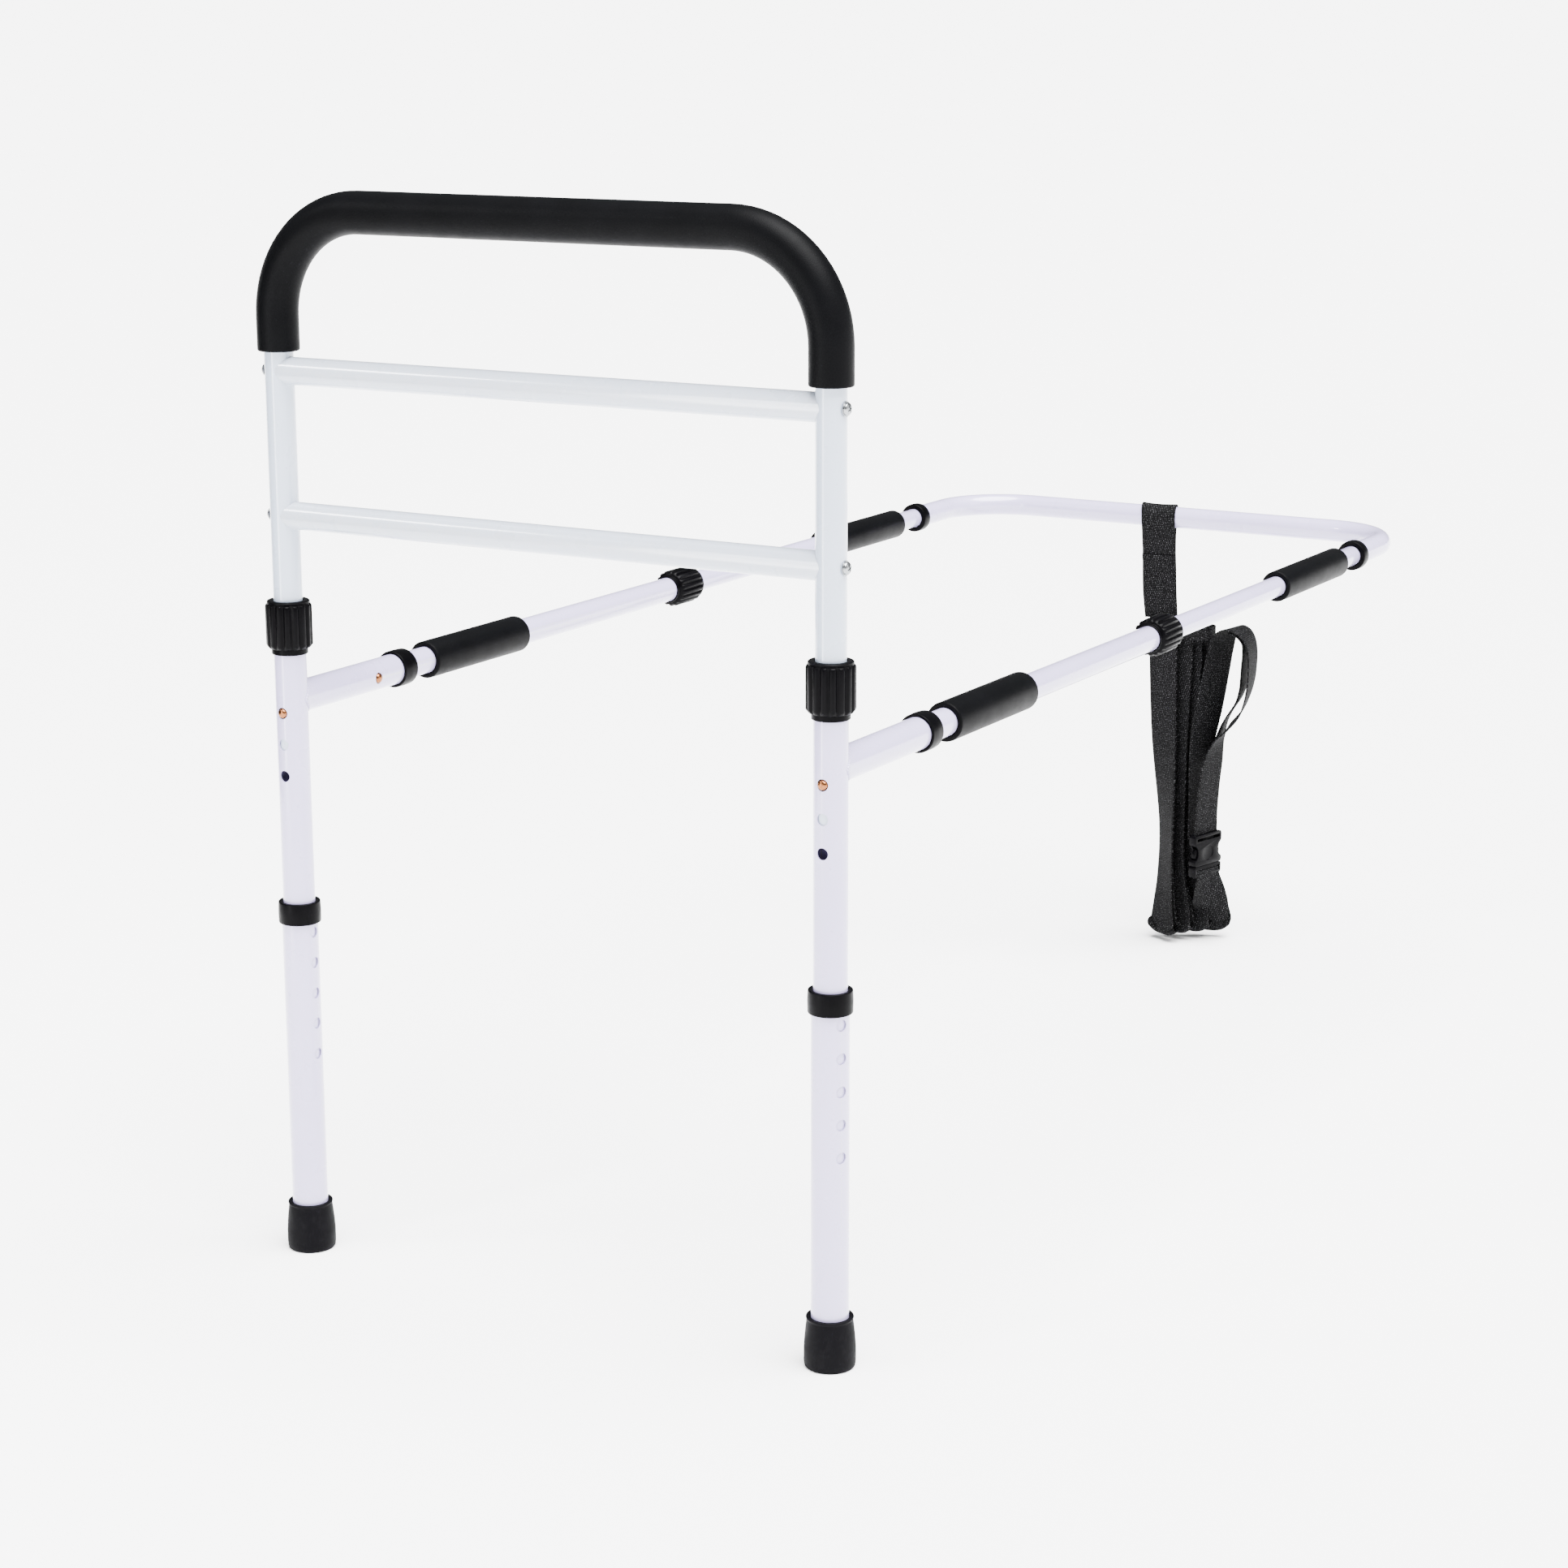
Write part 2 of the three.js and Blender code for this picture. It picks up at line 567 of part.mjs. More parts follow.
// The plug half: a cross bar with a slot for the webbing below z = 0, and two prongs with barbs above it.
function bucklePlug() {
  const { width, thick, wall, base, webSlot, window, prong, barb } = BUCKLE;
  const plate = thick - 2 * wall - 2 * GAP;
  const bar = box([thick, width, base], [0, 0, -base / 2 - GAP]);
  const slot = box([thick + 2, webSlot.width, webSlot.height], [0, 0, -base / 2]);
  const barbY = prong.y + (prong.width + barb.width) / 2 - GAP;
  const prongs = [-1, 1].map((end) => {
    const stem = box([plate, prong.width, prong.length], [0, end * prong.y, prong.length / 2 - 1]);
    return join(stem, box([plate, barb.width, barb.height], [0, end * barbY, window.z]));
  });
  return cut(join(bar, ...prongs), [slot]);
}

function strap() {
  const group = new THREE.Group();
  group.position.set(0, REACH, ARM_Z);
  group.add(piece('strap_webbing', join(barLoop(), foldedBundle(), sidePlies(), sideBight()), webbing));
  group.add(piece('strap_keeper', strapKeeper(), webbing));
  const buckle = new THREE.Group();
  buckle.position.set(BUCKLE.x, BUCKLE.y, BUCKLE.z);
  buckle.rotation.z = THREE.MathUtils.degToRad(BUCKLE.turn);
  buckle.add(piece('buckle_socket', buckleSocket(), blackPlastic));
  buckle.add(piece('buckle_plug', bucklePlug(), blackPlastic));
  group.add(buckle);
  return group;
}

// ---------------------------------------------------------------- assembly
const rail = new THREE.Group();
rail.position.y = shiftY;
rail.add(handrail());
for (const [sideName, side] of [['left', -1], ['right', 1]]) {
  rail.add(upright(sideName, side), baseArm(sideName, side));
}
rail.add(farBar(), strap());

const model = new THREE.Group();
model.add(rail);
export default model;
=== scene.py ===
import math

import bmesh
import bpy
from mathutils import Matrix, Vector


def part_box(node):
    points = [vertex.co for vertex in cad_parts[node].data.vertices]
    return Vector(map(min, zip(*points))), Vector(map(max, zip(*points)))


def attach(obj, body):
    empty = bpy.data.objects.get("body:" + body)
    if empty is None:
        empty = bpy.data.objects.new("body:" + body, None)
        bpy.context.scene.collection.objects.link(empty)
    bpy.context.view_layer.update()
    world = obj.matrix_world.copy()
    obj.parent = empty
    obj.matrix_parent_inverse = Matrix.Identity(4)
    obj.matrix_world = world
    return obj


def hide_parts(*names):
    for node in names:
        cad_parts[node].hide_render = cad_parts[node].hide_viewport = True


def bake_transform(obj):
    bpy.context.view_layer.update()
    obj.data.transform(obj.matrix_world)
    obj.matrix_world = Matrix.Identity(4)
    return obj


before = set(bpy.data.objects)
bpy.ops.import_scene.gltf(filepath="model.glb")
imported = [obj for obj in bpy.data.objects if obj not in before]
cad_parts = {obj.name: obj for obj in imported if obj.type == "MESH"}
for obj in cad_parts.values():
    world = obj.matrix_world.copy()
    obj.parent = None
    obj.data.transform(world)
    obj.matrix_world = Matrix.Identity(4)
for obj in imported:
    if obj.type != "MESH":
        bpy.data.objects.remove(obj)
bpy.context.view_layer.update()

MM = 0.001
INCH = 25.4 * MM
SIDES = {"left": -1, "right": 1}

# ---------------------------------------------------------------- sizes
GAP = 0.3 * MM                     # between pieces that touch
SNUG = 0.1 * MM                    # between pieces that are pressed on
WALL = 1.2 * MM                    # of every tube but the posts
POST_WALL = 1 * MM
HOOP_R = 11.4 * MM
RUNG_R = 10.8 * MM
GRIP_R = 16.3 * MM
HOOP_TOP = 838 * MM                # centre line of the hoop's top
HOOP_BEND_R = 80 * MM
BAR_BEND_R = 72 * MM
BEND_STEPS = 20
TUBE_SIDES = 72
RIM = 0.35 * MM                    # rounding of cut tube ends

POST_HOLES = 3
LEG_HOLES = 5
TOP_POST_HOLE_Z = 448.3 * MM
TOP_LEG_HOLE_Z = 269 * MM
LEG_HOLE_AZIMUTH = {"left": 88, "right": 65}
STUB_BUTTON_Y = 97 * MM            # from the upright's axis
HOLE_R = 4.5 * MM
BUTTON_R = 4 * MM
BUTTON_PROUD = 1.9 * MM
LEAF_LENGTH = 32 * MM

NUT_RIBS = {"post": 16, "arm": 18}
RIB_DEPTH = 1.7 * MM
FOAM_EDGE = 1.6 * MM
SCREW_HOLE_R = 2.8 * MM
SCREW_SHANK_R = 2.5 * MM
SCREW_HEAD_R = 4.7 * MM
SCREW_HEAD = 3.8 * MM              # height above the hoop, with the washer
WASHER = 0.8 * MM
WASHER_R = 5.6 * MM

WEB_WIDTH = 38 * MM
WEB_THICK = 1.5 * MM


def low(node):
    return Vector(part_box(node)[0])


def high(node):
    return Vector(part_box(node)[1])


def middle(node):
    return (low(node) + high(node)) / 2


def outer_radius(node, axis=0):
    return (high(node) - low(node))[axis] / 2


POST_R = outer_radius("left_post")
LEG_R = outer_radius("left_leg")
NEAR_ARM_R = outer_radius("left_near_arm")
FAR_ARM_R = outer_radius("left_far_arm")
STUB_R = outer_radius("left_stub")
UPRIGHT_X = {side: middle(f"{side}_post").x for side in SIDES}
UPRIGHT_Y = middle("left_post").y
HALF = UPRIGHT_X["right"]
ARM_Z = middle("left_near_arm").z
BAR_Y = high("far_bar").y - NEAR_ARM_R
LOW_LEG_HOLE_Z = TOP_LEG_HOLE_Z - (LEG_HOLES - 1) * INCH


# ---------------------------------------------------------------- camera
def camera():
    """The photo's view. Yaw turns from the front towards +X, and pitch is how far the camera looks down."""
    yaw = math.radians(30.05)
    pitch = math.radians(13.55)
    roll = math.radians(-0.10)
    back = Vector((math.sin(yaw) * math.cos(pitch), -math.cos(yaw) * math.cos(pitch), math.sin(pitch)))
    right = (-back).cross(Vector((0, 0, 1))).normalized()
    up = right.cross(-back)
    tilted_right = math.cos(roll) * right + math.sin(roll) * up
    tilted_up = math.cos(roll) * up - math.sin(roll) * right
    data = bpy.data.cameras.new("camera")
    data.lens = 75.453
    data.sensor_width = 36
    data.clip_end = 5000
    obj = bpy.data.objects.new("camera", data)
    turn = Matrix((tilted_right, tilted_up, back)).transposed().to_4x4()
    place = Vector((1.35913, UPRIGHT_Y - 1.99616, 0.99784))
    obj.matrix_world = Matrix.Translation(place) @ turn
    bpy.context.scene.collection.objects.link(obj)
    bpy.context.scene.camera = obj


# ---------------------------------------------------------------- materials
class Shader:
    """A Principled material with short calls for the nodes that the finishes share."""

    def __init__(self, name):
        self.material = bpy.data.materials.new(name)
        self.material.use_nodes = True
        self.tree = self.material.node_tree
        self.surface = self.tree.nodes["Principled BSDF"]
        self.coords = self.tree.nodes.new("ShaderNodeTexCoord")
        self.place = self.coords.outputs["Object"]

    def link(self, value, socket):
        if isinstance(value, bpy.types.NodeSocket):
            self.tree.links.new(value, socket)
        else:
            socket.default_value = value

    def set(self, **values):
        for name, value in values.items():
            self.link(value, self.surface.inputs[name.replace("_", " ")])

    def noise(self, scale, detail=2, roughness=0.5, stretch=None):
        node = self.tree.nodes.new("ShaderNodeTexNoise")
        place = self.place if stretch is None else self.stretched(stretch)
        self.link(place, node.inputs["Vector"])
        self.link(scale, node.inputs["Scale"])
        self.link(detail, node.inputs["Detail"])
        self.link(roughness, node.inputs["Roughness"])
        return node.outputs["Fac"]

    def stretched(self, scale):
        node = self.tree.nodes.new("ShaderNodeMapping")
        self.link(self.place, node.inputs["Vector"])
        self.link(scale, node.inputs["Scale"])
        return node.outputs["Vector"]

    def cells(self, scale):
        node = self.tree.nodes.new("ShaderNodeTexVoronoi")
        self.link(self.place, node.inputs["Vector"])
        self.link(scale, node.inputs["Scale"])
        return node.outputs["Distance"]

    def ranged(self, value, low_in, high_in, low_out, high_out):
        node = self.tree.nodes.new("ShaderNodeMapRange")
        for name, given in zip(("Value", "From Min", "From Max", "To Min", "To Max"),
                               (value, low_in, high_in, low_out, high_out)):
            self.link(given, node.inputs[name])
        return node.outputs["Result"]

    def math(self, operation, *values):
        node = self.tree.nodes.new("ShaderNodeMath")
        node.operation = operation
        for socket, value in zip(node.inputs, values):
            self.link(value, socket)
        return node.outputs["Value"]

    def mix(self, factor, first, second):
        node = self.tree.nodes.new("ShaderNodeMix")
        node.data_type = "RGBA"
        self.link(factor, node.inputs["Factor"])
        self.link(first, node.inputs[6])
        self.link(second, node.inputs[7])
        return node.outputs[2]

    def bump(self, height, strength, distance, normal=None):
        node = self.tree.nodes.new("ShaderNodeBump")
        self.link(height, node.inputs["Height"])
        self.link(strength, node.inputs["Strength"])
        self.link(distance, node.inputs["Distance"])
        if normal is not None:
            self.link(normal, node.inputs["Normal"])
        return node.outputs["Normal"]

    def edges(self, start, full):
        """Rises from 0 to 1 on convex edges, where a finish wears first."""
        node = self.tree.nodes.new("ShaderNodeNewGeometry")
        return self.ranged(node.outputs["Pointiness"], start, full, 0, 1)


def rgb(red, green, blue):
    return (red, green, blue, 1)


def powder_coat(name, colour, shade):
    shader = Shader(name)
    cloud = shader.ranged(shader.noise(9, 3), 0.35, 0.65, 0, 1)
    tone = shader.mix(cloud, colour, shade)
    worn = shader.math("MULTIPLY", shader.edges(0.56, 0.68), shader.noise(240, 3))
    orange_peel = shader.bump(shader.noise(620, 2), 0.09, 0.2 * MM)
    ripple = shader.bump(shader.noise(70, 1), 0.03, 0.4 * MM, orange_peel)
    shader.set(Base_Color=shader.mix(worn, tone, rgb(0.5, 0.5, 0.52)),
               Roughness=shader.ranged(shader.noise(45, 3), 0.3, 0.7, 0.24, 0.36),
               Coat_Weight=1.0, Coat_Roughness=0.09, Normal=ripple)
    return shader.material


def moulded_plastic(name, colour, light):
    shader = Shader(name)
    tone = shader.mix(shader.ranged(shader.noise(60, 4), 0.35, 0.7, 0, 1), colour, light)
    rubbed = shader.math("MULTIPLY", shader.edges(0.54, 0.64), 0.35)
    grain = shader.bump(shader.noise(2600, 3, 0.6), 0.22, 0.12 * MM)
    shader.set(Base_Color=shader.mix(rubbed, tone, rgb(0.009, 0.0087, 0.0105)),
               Roughness=shader.ranged(shader.noise(180, 4), 0.3, 0.7, 0.3, 0.44),
               Specular_IOR_Level=0.034, Normal=grain)
    return shader.material


def closed_cell_foam(name):
    shader = Shader(name)
    tone = shader.mix(shader.ranged(shader.noise(26, 4), 0.35, 0.7, 0, 1),
                      rgb(0.0007, 0.00075, 0.001), rgb(0.0011, 0.00115, 0.0015))
    pores = shader.bump(shader.cells(1500), 0.28, 0.22 * MM)
    soft = shader.bump(shader.noise(24, 2), 0.05, 0.4 * MM, pores)
    shader.set(Base_Color=tone, Roughness=shader.ranged(shader.noise(90, 3), 0.3, 0.7, 0.46, 0.52),
               Specular_IOR_Level=0.036, Normal=soft)
    return shader.material


def tip_rubber(name):
    shader = Shader(name)
    dust = shader.ranged(shader.noise(130, 5, 0.65), 0.52, 0.75, 0, 0.5)
    tone = shader.mix(dust, rgb(0.0016, 0.0015, 0.0021), rgb(0.005, 0.0046, 0.0056))
    grain = shader.bump(shader.noise(1700, 3, 0.6), 0.3, 0.2 * MM)
    shader.set(Base_Color=tone, Roughness=shader.ranged(shader.noise(70, 3), 0.3, 0.7, 0.5, 0.66),
               Specular_IOR_Level=0.035, Normal=grain)
    return shader.material


def plated_metal(name, colour, tarnish, roughness):
    shader = Shader(name)
    stain = shader.ranged(shader.noise(520, 4), 0.45, 0.75, 0, 0.7)
    lines = shader.bump(shader.noise(900, 2, stretch=(6, 6, 0.6)), 0.1, 0.06 * MM)
    shader.set(Base_Color=shader.mix(stain, colour, tarnish), Metallic=1.0, Normal=lines,
               Roughness=shader.ranged(shader.noise(700, 3), 0.3, 0.7, roughness, roughness + 0.14))
    return shader.material


def woven_webbing(name):
    """Ribs across the webbing, each broken into short floats that step sideways, as a twill's do."""
    shader = Shader(name)
    shader.place = shader.coords.outputs["UV"]
    split = shader.tree.nodes.new("ShaderNodeSeparateXYZ")
    shader.link(shader.place, split.inputs["Vector"])
    rib = shader.math("MULTIPLY", split.outputs["Y"], 1 / (1.9 * MM))
    step = shader.math("MULTIPLY", shader.math("FLOOR", rib), 0.27)
    thread = shader.math("ADD", shader.math("MULTIPLY", split.outputs["X"], 1 / (2.6 * MM)), step)
    rib_height = shader.math("ABSOLUTE", shader.math("SINE", shader.math("MULTIPLY", rib, math.pi)))
    thread_height = shader.math("ABSOLUTE", shader.math("SINE", shader.math("MULTIPLY", thread, math.pi)))
    height = shader.math("MULTIPLY", shader.math("POWER", rib_height, 0.7),
                         shader.math("POWER", thread_height, 0.6))
    fibre = shader.noise(2400, 3, 0.6)
    dash = shader.ranged(shader.noise(1, 2, 0.5, stretch=(620, 1300, 1)), 0.5, 0.66, 0, 1)
    # The base colour follows the weave's height: painted shade in the hollows between the threads and painted
    # light on their crests. The sparkle flecks mixed in next are painted glints.
    tone = shader.mix(height, rgb(0.0003, 0.0003, 0.0004), rgb(0.0022, 0.0022, 0.0024))
    sparkle = shader.math("MULTIPLY", dash, shader.math("POWER", height, 2))
    bright = shader.mix(sparkle, tone, rgb(0.07, 0.07, 0.073))
    relief = shader.bump(height, 0.6, 0.35 * MM)
    fuzz = shader.bump(fibre, 0.3, 0.12 * MM, relief)
    shader.set(Base_Color=bright, Roughness=shader.ranged(fibre, 0.3, 0.7, 0.65, 0.85),
               Specular_IOR_Level=0.03, Normal=fuzz)
    return shader.material


def studio_cloth(name, tone):
    shader = Shader(name)
    shade = tone * 0.98
    cloud = shader.mix(shader.noise(0.8, 2), rgb(tone, tone, tone), rgb(shade, shade, shade))
    shader.set(Base_Color=cloud, Roughness=0.9, Specular_IOR_Level=0.1)
    return shader.material


HANDRAIL_PAINT = powder_coat("handrail_powder_coat", rgb(0.405, 0.46, 0.555), rgb(0.39, 0.445, 0.545))
FRAME_PAINT = powder_coat("frame_powder_coat", rgb(0.44, 0.4, 0.615), rgb(0.425, 0.385, 0.6))
PLASTIC = moulded_plastic("black_nylon", rgb(0.0005, 0.00045, 0.0007), rgb(0.0009, 0.0008, 0.0012))
FOAM = closed_cell_foam("closed_cell_foam")
RUBBER = tip_rubber("tip_rubber")
COPPER = plated_metal("copper_plate", rgb(0.26, 0.1, 0.04), rgb(0.12, 0.042, 0.018), 0.2)
ZINC = plated_metal("zinc_plate", rgb(0.3, 0.31, 0.32), rgb(0.16, 0.17, 0.18), 0.2)
SPRING_STEEL = plated_metal("spring_steel", rgb(0.25, 0.25, 0.26), rgb(0.14, 0.13, 0.12), 0.32)
WEBBING = woven_webbing("webbing")


# ---------------------------------------------------------------- mesh helpers
def mesh_piece(name, verts, faces):
    mesh = bpy.data.meshes.new(name)
    mesh.from_pydata([tuple(v) for v in verts], [], faces)
    work = bmesh.new()
    work.from_mesh(mesh)
    bmesh.ops.recalc_face_normals(work, faces=work.faces)
    work.to_mesh(mesh)
    work.free()
    piece = bpy.data.objects.new(name, mesh)
    bpy.context.scene.collection.objects.link(piece)
    return piece


def skin(name, rows, closed=True):
    """A surface through rows of points that each close on themselves. An open one is capped at both ends."""
    count = len(rows[0])
    faces = []
    for i in range(len(rows) if closed else len(rows) - 1):
        a = i * count
        b = (i + 1) % len(rows) * count
        faces += [(a + j, a + (j + 1) % count, b + (j + 1) % count, b + j) for j in range(count)]
    if not closed:
        last = (len(rows) - 1) * count
        faces += [tuple(range(count)), tuple(range(last, last + count))]
    return mesh_piece(name, [point for row in rows for point in row], faces)


def rounded(profile, radius, closed=True, steps=4):
    """A profile of [radius, height] pairs with its corners rounded."""
    points = [Vector(p) for p in profile]
    soft = []
    for i, corner in enumerate(points):
        if not closed and i in (0, len(points) - 1):
            soft.append(corner)
            continue
        back = points[i - 1] - corner
        ahead = points[(i + 1) % len(points)] - corner
        reach = min(radius, 0.45 * back.length, 0.45 * ahead.length)
        start = corner + back.normalized() * reach
        end = corner + ahead.normalized() * reach
        for step in range(steps + 1):
            t = step / steps
            soft.append((1 - t) ** 2 * start + 2 * t * (1 - t) * corner + t * t * end)
    return soft


def circle(radius, sides=TUBE_SIDES):
    angles = [2 * math.pi * i / sides for i in range(sides)]
    return [(radius * math.cos(a), radius * math.sin(a)) for a in angles]


def turned(name, profile, closed=True, sides=TUBE_SIDES):
    """A turned piece about Z from a profile of [radius, height] pairs."""
    rows = [[Vector((x, y, z)) for x, y in circle(radius, sides)] for radius, z in profile]
    return skin(name, rows, closed)


def tube(name, outer, inner, start, end):
    """A straight tube along Z with softened ends."""
    return turned(name, rounded([(inner, start), (outer, start), (outer, end), (inner, end)], RIM))


def along_y(x, y=None):
    """Lays a piece that was built along Z on an arm's axis. Without y its z is measured from the upright."""
    start = UPRIGHT_Y if y is None else y
    return Matrix.Translation((x, start, ARM_Z)) @ Matrix.Rotation(-math.pi / 2, 4, "X")


def upright_at(side, z=0):
    return Matrix.Translation((UPRIGHT_X[side], UPRIGHT_Y, z))


def facing(azimuth):
    """Turns something that points along +X to an azimuth, in degrees from the front towards +X."""
    return Matrix.Rotation(math.radians(azimuth - 90), 4, "Z")


def bent_path(corners, radius):
    """Points along straight runs that meet in bends of one radius, and the direction at each."""
    corners = [Vector(c) for c in corners]
    points = [corners[0]]
    headings = [(corners[1] - corners[0]).normalized()]
    for before, corner, after in zip(corners, corners[1:], corners[2:]):
        back = (before - corner).normalized()
        ahead = (after - corner).normalized()
        centre = corner + (back + ahead) * radius
        for step in range(BEND_STEPS + 1):
            angle = step / BEND_STEPS * math.pi / 2
            points.append(centre - ahead * radius * math.cos(angle) - back * radius * math.sin(angle))
            headings.append(ahead * math.sin(angle) - back * math.cos(angle))
    points.append(corners[-1])
    headings.append((corners[-1] - corners[-2]).normalized())
    return points, headings


def bent_tube(name, path, normal, outer, inner, edge):
    """A tube along a flat path, with its outer ends rounded. The normal is the path's plane's."""
    points, headings = path
    normal = Vector(normal)

    def row(point, heading, radius):
        side = normal.cross(heading)
        return [point + side * x + normal * y for x, y in circle(radius)]

    def rim(point, inward):
        turns = [step / 5 * math.pi / 2 for step in range(6)]
        return [(point + inward * edge * (1 - math.cos(a)), outer - edge * (1 - math.sin(a))) for a in turns]

    first, last = headings[0], headings[-1]
    rows = [row(p, first, r) for p, r in rim(points[0], first)]
    rows += [row(p, h, outer) for p, h in zip(points[1:-1], headings[1:-1])]
    rows += [row(p, last, r) for p, r in reversed(rim(points[-1], -last))]
    rows += [row(p, h, inner) for p, h in reversed(list(zip(points, headings)))]
    return skin(name, rows)


def join(name, pieces):
    """One object from several, keeping every material index and UV."""
    work = bmesh.new()
    for piece in pieces:
        work.from_mesh(piece.data)
    mesh = bpy.data.meshes.new(name)
    work.to_mesh(mesh)
    work.free()
    for piece in pieces:
        bpy.data.objects.remove(piece)
    joined = bpy.data.objects.new(name, mesh)
    bpy.context.scene.collection.objects.link(joined)
    return joined


def bake_modifiers(piece):
    """The piece with its modifiers made part of its mesh."""
    graph = bpy.context.evaluated_depsgraph_get()
    mesh = bpy.data.meshes.new_from_object(piece.evaluated_get(graph))
    piece.modifiers.clear()
    piece.data = mesh
    return piece


def cut(piece, tools):
    """The piece less the tools, which are used up."""
    tool = join("tool", tools)
    modifier = piece.modifiers.new("cut", "BOOLEAN")
    modifier.operation = "DIFFERENCE"
    modifier.solver = "EXACT"
    modifier.object = tool
    bake_modifiers(piece)
    bpy.data.objects.remove(tool)
    return piece


def soften(piece, width):
    """Rounds a moulding's edges."""
    modifier = piece.modifiers.new("edges", "BEVEL")
    modifier.width = width
    modifier.segments = 2
    modifier.limit_method = "ANGLE"
    modifier.angle_limit = math.radians(40)
    return bake_modifiers(piece)


def drill(matrix, radius, reach, both_ways=False):
    """A drill along +X, placed by a matrix."""
    start = -reach if both_ways else 0
    tool = turned("drill", [(radius, start), (radius, reach)], closed=False, sides=36)
    tool.data.transform(matrix @ Matrix.Rotation(math.pi / 2, 4, "Y"))
    return tool


def box_tool(size, centre):
    x, y, z = (s / 2 for s in size)
    corners = [Vector((a * x, b * y, c * z)) + Vector(centre)
               for c in (-1, 1) for a, b in ((-1, -1), (1, -1), (1, 1), (-1, 1))]
    return skin("tool_box", [corners[:4], corners[4:]], closed=False)


def finish(piece, material, body, *nodes, slot, matrix=None, sharp=32):
    """Places a piece, gives it its finish and hides the CAD nodes that it stands for. A piece given no body
    is left unattached.
    """
    if matrix is not None:
        piece.data.transform(matrix)
    piece.data.materials.clear()
    piece.data.materials.append(material)
    piece.data.polygons.foreach_set("use_smooth", [True] * len(piece.data.polygons))
    piece.data.set_sharp_from_angle(angle=math.radians(sharp))
    if body is not None:
        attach(piece, body)
    if nodes:
        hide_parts(*nodes)
    return piece


# ---------------------------------------------------------------- handrail
def hoop_path(end_z):
    corners = [(-HALF, UPRIGHT_Y, end_z), (-HALF, UPRIGHT_Y, HOOP_TOP),
               (HALF, UPRIGHT_Y, HOOP_TOP), (HALF, UPRIGHT_Y, end_z)]
    return bent_path(corners, HOOP_BEND_R)


def hoop():
    rail = bent_tube("hoop", hoop_path(low("handrail_hoop").z), (0, 1, 0), HOOP_R, HOOP_R - WALL, RIM)
    tools = []
    for side in SIDES:
        tools.append(drill(upright_at(side, TOP_POST_HOLE_Z) @ facing(0), HOLE_R, 2 * HOOP_R))
        for level in ("upper", "lower"):
            across = upright_at(side, middle(f"{level}_rung").z)
            tools.append(drill(across, SCREW_HOLE_R, 2 * HOOP_R, both_ways=True))
    finish(cut(rail, tools), HANDRAIL_PAINT, "handrail", "handrail_hoop", slot="handrail_paint")


def grip():
    foam = bent_tube("grip", hoop_path(low("grip_foam").z), (0, 1, 0), GRIP_R, HOOP_R + SNUG, FOAM_EDGE)
    finish(foam, FOAM, "handrail", "grip_foam", slot="foam")


def rung(level):
    """A cross tube whose ends are cut to the uprights' curve."""
    z = middle(f"{level}_rung").z

    def row(radius, side):
        points = []
        for y, up in circle(radius):
            depth = math.sqrt(max(0, (HOOP_R + SNUG) ** 2 - y * y))
            points.append(Vector((side * (HALF - depth), UPRIGHT_Y + y, z + up)))
        return points

    inner = RUNG_R - WALL
    bar = skin(f"{level}_rung_tube", [row(RUNG_R, -1), row(RUNG_R, 1), row(inner, 1), row(inner, -1)])
    finish(bar, HANDRAIL_PAINT, "handrail", f"{level}_rung", slot="handrail_paint")


def rung_screw(level, side):
    """A domed head with a cross recess, on a plain washer. The shank reaches in to the rung's plug."""
    name = f"{level}_{side}_rung_screw"
    shoulder = WASHER + 0.8 * MM
    shank_end = SCREW_HEAD - (high(name) - low(name)).x
    rim = WASHER_R - 0.2 * MM
    dome = [(SCREW_HEAD_R * math.cos(a), shoulder + (SCREW_HEAD - shoulder) * math.sin(a))
            for a in [math.radians(10 * i) for i in range(9)]]
    profile = [(SCREW_SHANK_R, shank_end), (SCREW_SHANK_R, GAP), (rim, GAP), (WASHER_R, 2 * GAP),
               (rim, WASHER), (SCREW_HEAD_R, WASHER), *dome]
    screw = turned(f"{name}_head", profile, closed=False, sides=48)
    for turn in (25, 115):
        blade = box_tool((1.1 * MM, 5.2 * MM, 3 * MM), (0, 0, SCREW_HEAD + 0.1 * MM))
        blade.data.transform(Matrix.Rotation(math.radians(turn), 4, "Z"))
        cut(screw, [blade])
    outward = Matrix.Rotation(SIDES[side] * math.pi / 2, 4, "Y")
    foot = Matrix.Translation((SIDES[side] * HOOP_R, 0, 0))
    place = upright_at(side, middle(name).z) @ foot @ outward
    finish(screw, ZINC, "handrail", name, slot="zinc", matrix=place)


